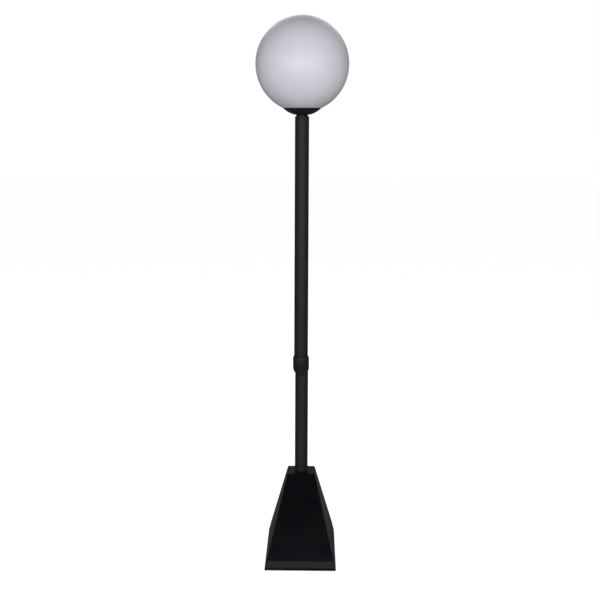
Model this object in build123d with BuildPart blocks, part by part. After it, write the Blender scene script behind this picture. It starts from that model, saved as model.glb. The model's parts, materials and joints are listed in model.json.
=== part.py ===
"""Globe floor lamp with an offset pole.

A steep pyramid base carries a lower tube that bends forwards into a short horizontal arm. A cast
knuckle turns on the end of the arm and carries the upper tube, the cup and the opal globe.

Millimetres. +Z is up, the front is -Y, and the origin is at the centre of the underside.
"""

import os
from math import acos, asin, cos, degrees, radians, sin, sqrt

from build123d import *

# ---------------------------------------------------------------- driving dimensions

# Pyramid base. Its sides are flat down to the floor; front and back rise upright first.
BASE_HALF_WIDTH = 103.0
BASE_HALF_DEPTH = 171.0
BASE_HEIGHT = 248.0
KICK_HEIGHT = 28.0
TOP_HALF = 40.0
COVER_WALL = 3.0
COVER_EDGE_RADIUS = 2.5
COVER_GAP = 2.0  # the cover's lower edge stands this far off the floor

PAD_THICKNESS = 3.0
PAD_INSET = 7.0
PAD_CORNER = 6.0
PLATE_THICKNESS = 5.0
PLATE_INSET = 5.6
PLATE_CORNER = 3.0
BALLAST_SIZE = (150.0, 262.0, 50.0)
BALLAST_CORNER = 8.0
BALLAST_CHAMFER = 4.0

# Pole
TUBE_RADIUS = 19.0
TUBE_WALL = 2.0
TUBE_BORE = TUBE_RADIUS - TUBE_WALL
POLE_OFFSET = 190.0  # upper tube's axis in front of the lower tube's
ARM_Z = 593.5
LOWER_BEND_RADIUS = 38.0
TUBE_FOOT_Z = 92.0
UPPER_TUBE_TOP_Z = 1284.6

# Knuckle and its swivel
KNUCKLE_RADIUS = 22.2
KNUCKLE_BEND_RADIUS = 28.0
KNUCKLE_TOP_Z = 631.0
KNUCKLE_BORE = 13.0
KNUCKLE_TOP_EDGE = 2.8
KNUCKLE_FACE_EDGE = 0.8
ARM_TUBE_END = 146.0  # distances along -Y from the lower tube's axis
BUSH_LENGTH = 40.0
BUSH_FLANGE = 2.0
WASHER_RADIUS = 18.5
WASHER_THICKNESS = 1.0
FACE_GAP = 0.2
SPIGOT_RADIUS = 13.0
SPIGOT_LENGTH = 36.0
SPIGOT_BORE = 8.0
TUBE_SPIGOT_LENGTH = 36.0
SPIGOT_ROOT = 1.0  # each spigot starts this far inside the elbow
ELBOW_WAY_SETBACK = 8.0  # the wide wiring way starts this far inside the knuckle's face
WAY_OVERLAP = 4.0  # the narrow way runs this far into the wide one
SWIVEL_RANGE = 35.0
DOG_RADIUS = 3.0
GROOVE_FLOOR_RADIUS = 10.0
RETAINING_SCREW_AT = 136.0
FRICTION_SCREW_AT = 122.0
ARM_SCREW_RADIUS = 4.0
FRICTION_PAD_RADIUS = 3.8
FRICTION_PAD_HEIGHT = 1.6

# Neck and cup. The cup's flank is an arc about a centre on its half section.
NECK_RADIUS = 16.0
NECK_HEIGHT = 5.0
CUP_WALL = 1.5
CUP_RIM_RADIUS = 50.8
CUP_LIP = 0.5
FLANK_RADIUS = 55.9
FLANK_CENTRE_RADIUS = 8.8
FLANK_CENTRE_HEIGHT = 54.45  # above the cup's floor
BEVEL_INNER_RADIUS = 45.9
NIPPLE_RADIUS = 5.0
NIPPLE_BORE = 3.8

# Globe, a little taller than it is wide
GLOBE_RADIUS = 125.0
GLOBE_HALF_HEIGHT = 127.1
GLOBE_CENTRE_Z = 1422.8
GLASS = 3.0
GLOBE_NECK_RADIUS = 36.0
GLOBE_NECK_LENGTH = 1.5
GASKET_THICKNESS = 1.5
GALLERY_THICKNESS = 1.5
GALLERY_RADIUS = 35.0

# Lampholder and bulb, E27
HOLDER_RADIUS = 20.0
HOLDER_HEIGHT = 50.0
HOLDER_SEAT = 0.5  # above the gallery
TIP_RISE = 22.0  # bulb's tip above the holder's foot
SHELL_RADIUS = 14.2
CAP_RADIUS = 13.2
BULB_RADIUS = 30.0
BULB_LENGTH = 108.0

# Mains inlet and inner lead
INLET_Z = 16.0
INLET_BORE = 3.75
LEAD_RADIUS = 3.0
LEAD_BEND_RADIUS = 30.0
LEAD_GAP = 1.0
LEAD_ENTRY_Z = 76.0

# Gaps
RUNNING_CLEARANCE = 0.05
FIT_GAP = 0.05  # between a pressed or slid-in piece and its bore
THREAD_GAP = 0.02  # between a screw and its tapped hole
HOLE_GAP = 0.3  # round a bolt in a drilled hole
HEAD_GAP = 0.4  # round a screw head in its recess

# ---------------------------------------------------------------- derived places

PLATE_TOP_Z = PAD_THICKNESS + PLATE_THICKNESS
BALLAST_TOP_Z = PLATE_TOP_Z + BALLAST_SIZE[2]
SIDE_SLOPE = (BASE_HALF_WIDTH - TOP_HALF) / BASE_HEIGHT
BUSH_FACE = ARM_TUBE_END + BUSH_FLANGE
KNUCKLE_FACE = BUSH_FACE + WASHER_THICKNESS + FACE_GAP
SPIGOT_END = KNUCKLE_FACE - SPIGOT_LENGTH
TUBE_SPIGOT_TOP_Z = KNUCKLE_TOP_Z + TUBE_SPIGOT_LENGTH
TUBE_BACK_Y = -POLE_OFFSET + TUBE_RADIUS
CUP_FLOOR_Z = UPPER_TUBE_TOP_Z + NECK_HEIGHT
FLANK_CENTRE_Z = CUP_FLOOR_Z + FLANK_CENTRE_HEIGHT


def globe_underside(radius):
    """Height of the globe's lower surface at a radius."""
    return GLOBE_CENTRE_Z - GLOBE_HALF_HEIGHT * sqrt(1 - (radius / GLOBE_RADIUS) ** 2)


GLOBE_NECK_TOP_Z = globe_underside(GLOBE_NECK_RADIUS)
GLOBE_MOUTH_Z = GLOBE_NECK_TOP_Z - GLOBE_NECK_LENGTH
GALLERY_TOP_Z = GLOBE_MOUTH_Z - GASKET_THICKNESS
GALLERY_Z = GALLERY_TOP_Z - GALLERY_THICKNESS
HOLDER_Z = GALLERY_TOP_Z + HOLDER_SEAT
BULB_Z = HOLDER_Z + TIP_RISE

os.makedirs("parts", exist_ok=True)


def save(part, node):
    """Labels a finished piece and writes its STEP file."""
    part.label = node
    export_step(part, f"parts/{node}.step")


# ---------------------------------------------------------------- helpers


def level(z):
    """Level plane at a height, its origin on the lower tube's axis."""
    return Plane(origin=(0, 0, z))


def pole_level(z):
    """Level plane at a height, its origin on the upper tube's axis."""
    return Plane(origin=(0, -POLE_OFFSET, z))


def arm_plane(distance):
    """Plane across the arm, this far in front of the lower tube's axis, facing forwards."""
    return Plane(origin=(0, -distance, ARM_Z), x_dir=(1, 0, 0), z_dir=(0, -1, 0))


def back_plane(y):
    """Upright plane at a y that faces backwards, with z as its second coordinate."""
    return Plane(origin=(0, y, 0), x_dir=(-1, 0, 0), z_dir=(0, 1, 0))


pole_section = Plane(origin=(0, -POLE_OFFSET, 0), x_dir=(1, 0, 0), z_dir=(0, -1, 0))
pole_axis = Axis((0, -POLE_OFFSET, 0), (0, 0, 1))


def prism(plane, radius, length, places=((0, 0),), sides=0, mode=Mode.ADD):
    """Adds or cuts a rod, round or with a number of sides, at each place on a plane."""
    with BuildSketch(plane) as outline:
        with Locations(*places):
            if sides:
                RegularPolygon(radius, sides)
            else:
                Circle(radius)
    extrude(outline.sketch, amount=length, mode=mode)


def driver_slot(plane, length, width, depth, places):
    """Cuts a screwdriver slot at each place on a plane."""
    with BuildSketch(plane) as outline:
        with Locations(*places):
            Rectangle(length, width)
    extrude(outline.sketch, amount=depth, mode=Mode.SUBTRACT)


# ---------------------------------------------------------------- base

BOSS_X = 86.0
BOSS_Y = 160.0
BOSS_RADIUS = 7.0
BOSS_TOP_Z = 30.0
BOSS_HOLE_DEPTH = 14.0
COVER_SCREW_RADIUS = 2.0
COVER_SCREW_LENGTH = 16.0
COVER_HEAD_RADIUS = 4.5
COVER_HEAD_HEIGHT = 2.5
BOLT_REACH = 24.0  # bolts stand at the corners of a square, this far from its middle lines
BOLT_RADIUS = 4.0
BOLT_HEAD_RADIUS = 6.5
BOLT_HEAD_HEIGHT = 4.0
TUBE_HOLE_GAP = 0.3
INLET_HOLE_RADIUS = 7.0

boss_places = [(x, y) for x in (-BOSS_X, BOSS_X) for y in (-BOSS_Y, BOSS_Y)]
bolt_places = [(x, y) for x in (-BOLT_REACH, BOLT_REACH) for y in (-BOLT_REACH, BOLT_REACH)]

with BuildPart() as floor_pad:
    with BuildSketch():
        Rectangle(2 * (BASE_HALF_WIDTH - PAD_INSET), 2 * (BASE_HALF_DEPTH - PAD_INSET))
        fillet(vertices(), radius=PAD_CORNER)
    extrude(amount=PAD_THICKNESS)
save(floor_pad.part, "floor_pad")

with BuildPart() as base_plate:
    plate_underside = level(PAD_THICKNESS)
    with BuildSketch(plate_underside):
        Rectangle(2 * (BASE_HALF_WIDTH - PLATE_INSET), 2 * (BASE_HALF_DEPTH - PLATE_INSET))
        fillet(vertices(), radius=PLATE_CORNER)
    extrude(amount=PLATE_THICKNESS)
    for radius, gap, depth, places in (
        (COVER_SCREW_RADIUS, HOLE_GAP, PLATE_THICKNESS, boss_places),
        (BOLT_RADIUS, HOLE_GAP, PLATE_THICKNESS, bolt_places),
        (COVER_HEAD_RADIUS, HEAD_GAP, COVER_HEAD_HEIGHT + FIT_GAP, boss_places),
        (BOLT_HEAD_RADIUS, HEAD_GAP, BOLT_HEAD_HEIGHT + FIT_GAP, bolt_places),
    ):
        prism(plate_underside, radius + gap, depth, places, mode=Mode.SUBTRACT)
save(base_plate.part, "base_plate")

with BuildPart() as base_cover:
    # side view, run across the width
    with BuildSketch(Plane.YZ):
        Polygon(
            (-BASE_HALF_DEPTH, 0),
            (BASE_HALF_DEPTH, 0),
            (BASE_HALF_DEPTH, KICK_HEIGHT),
            (TOP_HALF, BASE_HEIGHT),
            (-TOP_HALF, BASE_HEIGHT),
            (-BASE_HALF_DEPTH, KICK_HEIGHT),
            align=None,
        )
    extrude(amount=BASE_HALF_WIDTH, both=True)
    # front view, which slopes the two sides
    with BuildSketch(Plane.XZ):
        Polygon(
            (-BASE_HALF_WIDTH, 0),
            (BASE_HALF_WIDTH, 0),
            (TOP_HALF, BASE_HEIGHT),
            (-TOP_HALF, BASE_HEIGHT),
            align=None,
        )
    extrude(amount=BASE_HALF_DEPTH, both=True, mode=Mode.INTERSECT)
    offset(amount=-COVER_WALL, openings=faces().sort_by(Axis.Z)[0])
    side_edges = edges().filter_by(
        lambda e: abs(abs(e.center().X) - BASE_HALF_WIDTH + SIDE_SLOPE * e.center().Z) < 0.01
        and e.center().Z > COVER_GAP
    )
    fillet(side_edges, radius=COVER_EDGE_RADIUS)
    # tapped screw bosses in the four corners
    boss_foot = level(PLATE_TOP_Z)
    boss_hole = COVER_SCREW_RADIUS + THREAD_GAP
    prism(boss_foot, BOSS_RADIUS, BOSS_TOP_Z - PLATE_TOP_Z, boss_places)
    prism(boss_foot, boss_hole, BOSS_HOLE_DEPTH, boss_places, mode=Mode.SUBTRACT)
    # lower edge lifted off the floor
    with BuildSketch():
        Rectangle(3 * BASE_HALF_WIDTH, 3 * BASE_HALF_DEPTH)
    extrude(amount=COVER_GAP, mode=Mode.SUBTRACT)
    # holes for the tube in the top and for the mains inlet in the back
    top_inside = level(BASE_HEIGHT - 2 * COVER_WALL)
    back_inside = back_plane(BASE_HALF_DEPTH - 2 * COVER_WALL)
    inlet_place = [(0, INLET_Z)]
    prism(top_inside, TUBE_RADIUS + TUBE_HOLE_GAP, 3 * COVER_WALL, mode=Mode.SUBTRACT)
    prism(back_inside, INLET_HOLE_RADIUS, 3 * COVER_WALL, inlet_place, mode=Mode.SUBTRACT)
save(base_cover.part, "base_cover")

with BuildPart() as ballast:
    with BuildSketch(level(PLATE_TOP_Z)):
        Rectangle(BALLAST_SIZE[0], BALLAST_SIZE[1])
        fillet(vertices(), radius=BALLAST_CORNER)
        with Locations(*bolt_places):
            Circle(BOLT_RADIUS + HOLE_GAP, mode=Mode.SUBTRACT)
    extrude(amount=BALLAST_SIZE[2])
    chamfer(faces().sort_by(Axis.Z)[-1].outer_wire().edges(), length=BALLAST_CHAMFER)
save(ballast.part, "ballast")

SOCKET_FLANGE_RADIUS = 45.0
SOCKET_FLANGE = 8.0
SOCKET_RADIUS = 23.0
SOCKET_BORE = 16.0
SOCKET_TOP_Z = 190.0
WINDOW_WIDTH = 10.0
WINDOW_PITCH = 6.0
WINDOW_RISE = 2.0
GRUB_SCREW_RADIUS = 3.0
GRUB_SCREW_LENGTH = 5.0
GRUB_HEX_RADIUS = 1.7
GRUB_HEX_DEPTH = 2.5
grub_places = [(0, 120.0), (0, 170.0)]

with BuildPart() as pole_socket:
    socket_foot = level(BALLAST_TOP_Z)
    socket_length = SOCKET_TOP_Z - BALLAST_TOP_Z
    prism(socket_foot, SOCKET_FLANGE_RADIUS, SOCKET_FLANGE)
    prism(socket_foot, SOCKET_RADIUS, socket_length)
    prism(socket_foot, SOCKET_BORE, socket_length, mode=Mode.SUBTRACT)
    prism(level(TUBE_FOOT_Z), TUBE_RADIUS + FIT_GAP, socket_length, mode=Mode.SUBTRACT)
    bolt_hole = BOLT_RADIUS + THREAD_GAP
    prism(socket_foot, bolt_hole, SOCKET_FLANGE, bolt_places, mode=Mode.SUBTRACT)
    # window for the lead, at the back
    with BuildSketch(back_plane(0)):
        with Locations((0, LEAD_ENTRY_Z + WINDOW_RISE)):
            SlotCenterToCenter(WINDOW_PITCH, WINDOW_WIDTH, rotation=90)
    extrude(amount=SOCKET_RADIUS, mode=Mode.SUBTRACT)
    # tapped holes for the grub screws, at the back
    grub_hole = GRUB_SCREW_RADIUS + THREAD_GAP
    prism(back_plane(0), grub_hole, SOCKET_RADIUS, grub_places, mode=Mode.SUBTRACT)
save(pole_socket.part, "pole_socket")

with BuildPart() as socket_screws:
    grub_start_y = TUBE_RADIUS + FIT_GAP
    hex_start_y = grub_start_y + GRUB_SCREW_LENGTH - GRUB_HEX_DEPTH
    grub_hex = back_plane(hex_start_y)
    prism(back_plane(grub_start_y), GRUB_SCREW_RADIUS, GRUB_SCREW_LENGTH, grub_places)
    prism(grub_hex, GRUB_HEX_RADIUS, GRUB_HEX_DEPTH, grub_places, sides=6, mode=Mode.SUBTRACT)
save(socket_screws.part, "socket_screws")

COVER_HEX_RADIUS = 1.8
COVER_HEX_DEPTH = 1.6
BOLT_HEX_RADIUS = 3.0
BOLT_HEX_DEPTH = 2.5
BOLT_END_GAP = 1.0  # below the socket flange's top

with BuildPart() as cover_screws:
    head_face = level(PAD_THICKNESS)
    prism(head_face, COVER_HEAD_RADIUS, COVER_HEAD_HEIGHT, boss_places)
    prism(head_face, COVER_SCREW_RADIUS, COVER_SCREW_LENGTH, boss_places)
    prism(head_face, COVER_HEX_RADIUS, COVER_HEX_DEPTH, boss_places, sides=6, mode=Mode.SUBTRACT)
save(cover_screws.part, "cover_screws")

with BuildPart() as ballast_bolts:
    head_face = level(PAD_THICKNESS)
    bolt_length = BALLAST_TOP_Z + SOCKET_FLANGE - PAD_THICKNESS - BOLT_END_GAP
    prism(head_face, BOLT_HEAD_RADIUS, BOLT_HEAD_HEIGHT, bolt_places)
    prism(head_face, BOLT_RADIUS, bolt_length, bolt_places)
    prism(head_face, BOLT_HEX_RADIUS, BOLT_HEX_DEPTH, bolt_places, sides=6, mode=Mode.SUBTRACT)
save(ballast_bolts.part, "ballast_bolts")

# ---------------------------------------------------------------- mains inlet and wiring

GROMMET_FLANGE_RADIUS = 9.5
GROMMET_INNER_RADIUS = 9.0
GROMMET_FLANGE = 2.0
GROMMET_EDGE = 1.2

with BuildPart() as inlet_grommet:
    inner_flange = back_plane(BASE_HALF_DEPTH - COVER_WALL - GROMMET_FLANGE)
    through_length = COVER_WALL + 2 * GROMMET_FLANGE
    waist_radius = INLET_HOLE_RADIUS - FIT_GAP
    prism(back_plane(BASE_HALF_DEPTH), GROMMET_FLANGE_RADIUS, GROMMET_FLANGE, inlet_place)
    fillet(edges().sort_by(Axis.Y)[-1], radius=GROMMET_EDGE)
    prism(back_plane(BASE_HALF_DEPTH - COVER_WALL), waist_radius, COVER_WALL, inlet_place)
    prism(inner_flange, GROMMET_INNER_RADIUS, GROMMET_FLANGE, inlet_place)
    prism(inner_flange, INLET_BORE, through_length, inlet_place, mode=Mode.SUBTRACT)
save(inlet_grommet.part, "inlet_grommet")

CLAMP_Y = 147.0
CLAMP_DEPTH = 10.0
CLAMP_HEIGHT = 14.0
CLAMP_PITCH = 24.0
CLAMP_MARGIN = 6.0  # beyond each screw
THROAT_WIDTH = 7.5
THROAT_PITCH = 7.0
CLAMP_SCREW_RADIUS = 2.0
CLAMP_HEAD_RADIUS = 3.6
CLAMP_HEAD_HEIGHT = 2.4
CLAMP_SLOT = (5.4, 0.9, 1.0)
CLAMP_SCREW_GAP = 1.0  # above the plate
clamp_places = [(-CLAMP_PITCH / 2, CLAMP_Y), (CLAMP_PITCH / 2, CLAMP_Y)]

with BuildPart() as cord_clamp:
    # bridge with a half-round throat for the mains lead
    with BuildSketch(back_plane(CLAMP_Y - CLAMP_DEPTH / 2)):
        with Locations((0, PLATE_TOP_Z)):
            clamp_width = CLAMP_PITCH + 2 * CLAMP_MARGIN
            Rectangle(clamp_width, CLAMP_HEIGHT, align=(Align.CENTER, Align.MIN))
            SlotCenterToCenter(THROAT_PITCH, THROAT_WIDTH, rotation=90, mode=Mode.SUBTRACT)
    extrude(amount=CLAMP_DEPTH)
    clamp_hole = CLAMP_SCREW_RADIUS + THREAD_GAP
    prism(level(PLATE_TOP_Z), clamp_hole, CLAMP_HEIGHT, clamp_places, mode=Mode.SUBTRACT)
save(cord_clamp.part, "cord_clamp")

with BuildPart() as cord_clamp_screws:
    clamp_top_z = PLATE_TOP_Z + CLAMP_HEIGHT
    slot_z = clamp_top_z + CLAMP_HEAD_HEIGHT - CLAMP_SLOT[2]
    clamp_shank = level(PLATE_TOP_Z + CLAMP_SCREW_GAP)
    shank_length = CLAMP_HEIGHT - CLAMP_SCREW_GAP
    prism(clamp_shank, CLAMP_SCREW_RADIUS, shank_length, clamp_places)
    prism(level(clamp_top_z), CLAMP_HEAD_RADIUS, CLAMP_HEAD_HEIGHT, clamp_places)
    driver_slot(level(slot_z), *CLAMP_SLOT, clamp_places)
save(cord_clamp_screws.part, "cord_clamp_screws")

BLOCK_FRONT_Y = 58.0
BLOCK_SIZE = (34.0, 20.0, 26.0)
BLOCK_CHAMFER = 1.5
WAY_PITCH = 11.0
WAY_ROWS = (5.0, 15.0)  # behind the block's front
WAY_DEPTH = 6.0
WAY_SCREW_RADIUS = 2.0
WAY_SCREW_LENGTH = 4.4
WAY_SLOT = (3.2, 0.7, 0.8)
way_places = [(x, BLOCK_FRONT_Y + y) for x in (-WAY_PITCH, 0, WAY_PITCH) for y in WAY_ROWS]
way_floor_z = BALLAST_TOP_Z + BLOCK_SIZE[2] - WAY_DEPTH

with BuildPart() as terminal_block:
    with BuildSketch(level(BALLAST_TOP_Z)):
        with Locations((0, BLOCK_FRONT_Y + BLOCK_SIZE[1] / 2)):
            Rectangle(BLOCK_SIZE[0], BLOCK_SIZE[1])
    extrude(amount=BLOCK_SIZE[2])
    chamfer(edges().filter_by(Axis.Y).group_by(Axis.Z)[-1], length=BLOCK_CHAMFER)
    way_radius = WAY_SCREW_RADIUS + HOLE_GAP / 2
    prism(level(way_floor_z), way_radius, WAY_DEPTH, way_places, mode=Mode.SUBTRACT)
save(terminal_block.part, "terminal_block")

with BuildPart() as terminal_screws:
    way_slot_z = way_floor_z + FIT_GAP + WAY_SCREW_LENGTH - WAY_SLOT[2]
    prism(level(way_floor_z + FIT_GAP), WAY_SCREW_RADIUS, WAY_SCREW_LENGTH, way_places)
    driver_slot(level(way_slot_z), *WAY_SLOT, way_places)
save(terminal_screws.part, "terminal_screws")

EARTH_PLACE = [(45.0, 90.0)]
EARTH_WASHER = (4.5, 1.0)
EARTH_HEAD = (4.0, 3.2)
EARTH_SLOT = (6.0, 1.0, 0.8)

with BuildPart() as earth_screw:
    earth_head_z = BALLAST_TOP_Z + EARTH_WASHER[1]
    prism(level(BALLAST_TOP_Z), *EARTH_WASHER, EARTH_PLACE)
    prism(level(earth_head_z), *EARTH_HEAD, EARTH_PLACE, sides=6)
    driver_slot(level(earth_head_z + EARTH_HEAD[1] - EARTH_SLOT[2]), *EARTH_SLOT, EARTH_PLACE)
save(earth_screw.part, "earth_screw")

with BuildPart() as lower_lead:
    with BuildLine(Plane.YZ):
        FilletPolyline(
            (BLOCK_FRONT_Y, LEAD_ENTRY_Z),
            (0, LEAD_ENTRY_Z),
            (0, ARM_Z),
            (-SPIGOT_END + LEAD_GAP, ARM_Z),
            radius=LEAD_BEND_RADIUS,
        )
    with BuildSketch(Plane(origin=(0, BLOCK_FRONT_Y, LEAD_ENTRY_Z), z_dir=(0, -1, 0))):
        Circle(LEAD_RADIUS)
    sweep()
save(lower_lead.part, "lower_lead")

LEAD_TAIL = 4.0  # inside the holder's cap

with BuildPart() as upper_lead:
    with BuildLine(Plane.YZ):
        FilletPolyline(
            (-SPIGOT_END, ARM_Z),
            (-POLE_OFFSET, ARM_Z),
            (-POLE_OFFSET, HOLDER_Z + LEAD_TAIL),
            radius=LEAD_BEND_RADIUS,
        )
    with BuildSketch(arm_plane(SPIGOT_END)):
        Circle(LEAD_RADIUS)
    sweep()
save(upper_lead.part, "upper_lead")

# ---------------------------------------------------------------- lower tube and swivel

arm_screw_places = [(0, -RETAINING_SCREW_AT), (0, -FRICTION_SCREW_AT)]
arm_screw_hole = ARM_SCREW_RADIUS + THREAD_GAP
arm_underside = level(ARM_Z - TUBE_RADIUS)

with BuildPart() as lower_tube:
    with BuildLine(Plane.YZ):
        FilletPolyline(
            (0, TUBE_FOOT_Z),
            (0, ARM_Z),
            (-ARM_TUBE_END, ARM_Z),
            radius=LOWER_BEND_RADIUS,
        )
    with BuildSketch(level(TUBE_FOOT_Z)):
        Circle(TUBE_RADIUS)
        Circle(TUBE_BORE, mode=Mode.SUBTRACT)
    sweep()
    prism(arm_underside, arm_screw_hole, TUBE_RADIUS, arm_screw_places, mode=Mode.SUBTRACT)
save(lower_tube.part, "lower_tube")

with BuildPart() as swivel_bush:
    bush_start = arm_plane(ARM_TUBE_END - BUSH_LENGTH)
    bush_bore = SPIGOT_RADIUS + RUNNING_CLEARANCE
    prism(arm_plane(ARM_TUBE_END), TUBE_RADIUS, BUSH_FLANGE)
    prism(bush_start, TUBE_BORE - FIT_GAP, BUSH_LENGTH)
    prism(bush_start, bush_bore, BUSH_LENGTH + BUSH_FLANGE, mode=Mode.SUBTRACT)
    prism(arm_underside, arm_screw_hole, TUBE_RADIUS, arm_screw_places, mode=Mode.SUBTRACT)
save(swivel_bush.part, "swivel_bush")

with BuildPart() as face_washer:
    washer_start = arm_plane(BUSH_FACE)
    prism(washer_start, WASHER_RADIUS, WASHER_THICKNESS)
    prism(washer_start, SPIGOT_RADIUS + HEAD_GAP, WASHER_THICKNESS, mode=Mode.SUBTRACT)
save(face_washer.part, "face_washer")

SCREW_RECESS = 0.5  # below the tube's surface
SCREW_STANDOFF = 0.7  # from the spigot
SCREW_OUTER_Z = ARM_Z - TUBE_RADIUS + SCREW_RECESS
SCREW_INNER_Z = ARM_Z - SPIGOT_RADIUS - SCREW_STANDOFF
DOG_TIP_Z = ARM_Z - GROOVE_FLOOR_RADIUS - HEAD_GAP
ARM_HEX_RADIUS = 2.3
ARM_HEX_DEPTH = 2.0

with BuildPart() as retaining_screw:
    place = [(0, -RETAINING_SCREW_AT)]
    outer_end = level(SCREW_OUTER_Z)
    prism(outer_end, ARM_SCREW_RADIUS, SCREW_INNER_Z - SCREW_OUTER_Z, place)
    prism(level(SCREW_INNER_Z), DOG_RADIUS, DOG_TIP_Z - SCREW_INNER_Z, place)
    prism(outer_end, ARM_HEX_RADIUS, ARM_HEX_DEPTH, place, sides=6, mode=Mode.SUBTRACT)
save(retaining_screw.part, "retaining_screw")

PAD_Z = SCREW_INNER_Z - FRICTION_PAD_HEIGHT

with BuildPart() as friction_screw:
    place = [(0, -FRICTION_SCREW_AT)]
    outer_end = level(SCREW_OUTER_Z)
    prism(outer_end, ARM_SCREW_RADIUS, PAD_Z - SCREW_OUTER_Z, place)
    prism(outer_end, ARM_HEX_RADIUS, ARM_HEX_DEPTH, place, sides=6, mode=Mode.SUBTRACT)
save(friction_screw.part, "friction_screw")

with BuildPart() as friction_pad:
    # its upper end is hollowed to the spigot
    spigot_start = arm_plane(FRICTION_SCREW_AT - 2 * FRICTION_PAD_RADIUS)
    spigot_cut = SPIGOT_RADIUS + RUNNING_CLEARANCE
    prism(level(PAD_Z), FRICTION_PAD_RADIUS, 2 * FRICTION_PAD_HEIGHT, [(0, -FRICTION_SCREW_AT)])
    prism(spigot_start, spigot_cut, 4 * FRICTION_PAD_RADIUS, mode=Mode.SUBTRACT)
save(friction_pad.part, "friction_pad")

# The groove lets the dog-point screw travel as far as the swivel turns, and then stops it.
GROOVE_SLACK_ANGLE = 2.0
GROOVE_SIDE_GAP = 0.3
GROOVE_OVERCUT = 1.0  # beyond the spigot's surface
GROOVE_WIDTH = 2 * (DOG_RADIUS + GROOVE_SIDE_GAP)
dog_half_angle = degrees(asin(DOG_RADIUS / GROOVE_FLOOR_RADIUS))
groove_half_angle = SWIVEL_RANGE + dog_half_angle + GROOVE_SLACK_ANGLE

TUBE_SCREW_RADIUS = 2.0
TUBE_SCREW_RISES = (12.0, 26.0)  # above the knuckle's top
PLUG_LENGTH = 24.0
PLUG_SCREW_Z = UPPER_TUBE_TOP_Z - PLUG_LENGTH / 2
tube_screw_zs = [KNUCKLE_TOP_Z + rise for rise in TUBE_SCREW_RISES]
tube_screw_places = [(0, z) for z in tube_screw_zs]
tube_screw_hole = TUBE_SCREW_RADIUS + THREAD_GAP

with BuildPart() as knuckle:
    with BuildLine(Plane.YZ):
        FilletPolyline(
            (-KNUCKLE_FACE, ARM_Z),
            (-POLE_OFFSET, ARM_Z),
            (-POLE_OFFSET, KNUCKLE_TOP_Z),
            radius=KNUCKLE_BEND_RADIUS,
        )
    with BuildSketch(arm_plane(KNUCKLE_FACE)):
        Circle(KNUCKLE_RADIUS)
    sweep()
    rims = edges().filter_by(GeomType.CIRCLE)
    fillet(rims.group_by(Axis.Z)[-1], radius=KNUCKLE_TOP_EDGE)
    fillet(rims.sort_by(Axis.Y)[-1], radius=KNUCKLE_FACE_EDGE)
    # spigots back into the arm and up into the tube
    tube_spigot_foot = pole_level(KNUCKLE_TOP_Z - SPIGOT_ROOT)
    prism(arm_plane(SPIGOT_END), SPIGOT_RADIUS, SPIGOT_LENGTH + SPIGOT_ROOT)
    prism(tube_spigot_foot, TUBE_BORE - FIT_GAP, TUBE_SPIGOT_LENGTH + SPIGOT_ROOT)
    # wiring way: the elbow and tube spigot, then the narrower arm spigot
    way_start = KNUCKLE_FACE + ELBOW_WAY_SETBACK
    with BuildLine(Plane.YZ):
        FilletPolyline(
            (-way_start, ARM_Z),
            (-POLE_OFFSET, ARM_Z),
            (-POLE_OFFSET, TUBE_SPIGOT_TOP_Z),
            radius=KNUCKLE_BEND_RADIUS,
        )
    with BuildSketch(arm_plane(way_start)):
        Circle(KNUCKLE_BORE)
    sweep(mode=Mode.SUBTRACT)
    spigot_way = SPIGOT_LENGTH + ELBOW_WAY_SETBACK + WAY_OVERLAP
    prism(arm_plane(SPIGOT_END), SPIGOT_BORE, spigot_way, mode=Mode.SUBTRACT)
    # stop groove under the arm spigot
    with BuildSketch(arm_plane(RETAINING_SCREW_AT - GROOVE_WIDTH / 2)):
        with BuildLine():
            start_angle = -90 - groove_half_angle
            floor_arc = CenterArc((0, 0), GROOVE_FLOOR_RADIUS, start_angle, 2 * groove_half_angle)
            open_radius = SPIGOT_RADIUS + GROOVE_OVERCUT
            open_arc = CenterArc((0, 0), open_radius, start_angle, 2 * groove_half_angle)
            Line(floor_arc @ 0, open_arc @ 0)
            Line(floor_arc @ 1, open_arc @ 1)
        make_face()
    extrude(amount=GROOVE_WIDTH, mode=Mode.SUBTRACT)
    # tapped holes for the tube screws, at the back
    hole_start = back_plane(-POLE_OFFSET)
    prism(hole_start, tube_screw_hole, TUBE_BORE, tube_screw_places, mode=Mode.SUBTRACT)
save(knuckle.part, "knuckle")

# ---------------------------------------------------------------- upper tube

with BuildPart() as upper_tube:
    tube_foot = pole_level(KNUCKLE_TOP_Z)
    tube_length = UPPER_TUBE_TOP_Z - KNUCKLE_TOP_Z
    back_holes = [*tube_screw_places, (0, PLUG_SCREW_Z)]
    prism(tube_foot, TUBE_RADIUS, tube_length)
    prism(tube_foot, TUBE_BORE, tube_length, mode=Mode.SUBTRACT)
    hole_start = back_plane(-POLE_OFFSET)
    prism(hole_start, tube_screw_hole, TUBE_RADIUS, back_holes, mode=Mode.SUBTRACT)
save(upper_tube.part, "upper_tube")

BUTTON_HEAD_RADIUS = 3.8
BUTTON_HEAD_HEIGHT = 1.9
BUTTON_TAPER = 28.0
BUTTON_HEX_RADIUS = 1.4
BUTTON_HEX_DEPTH = 1.2
SHANK_START = KNUCKLE_BORE + 0.5  # from the tube's axis


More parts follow.
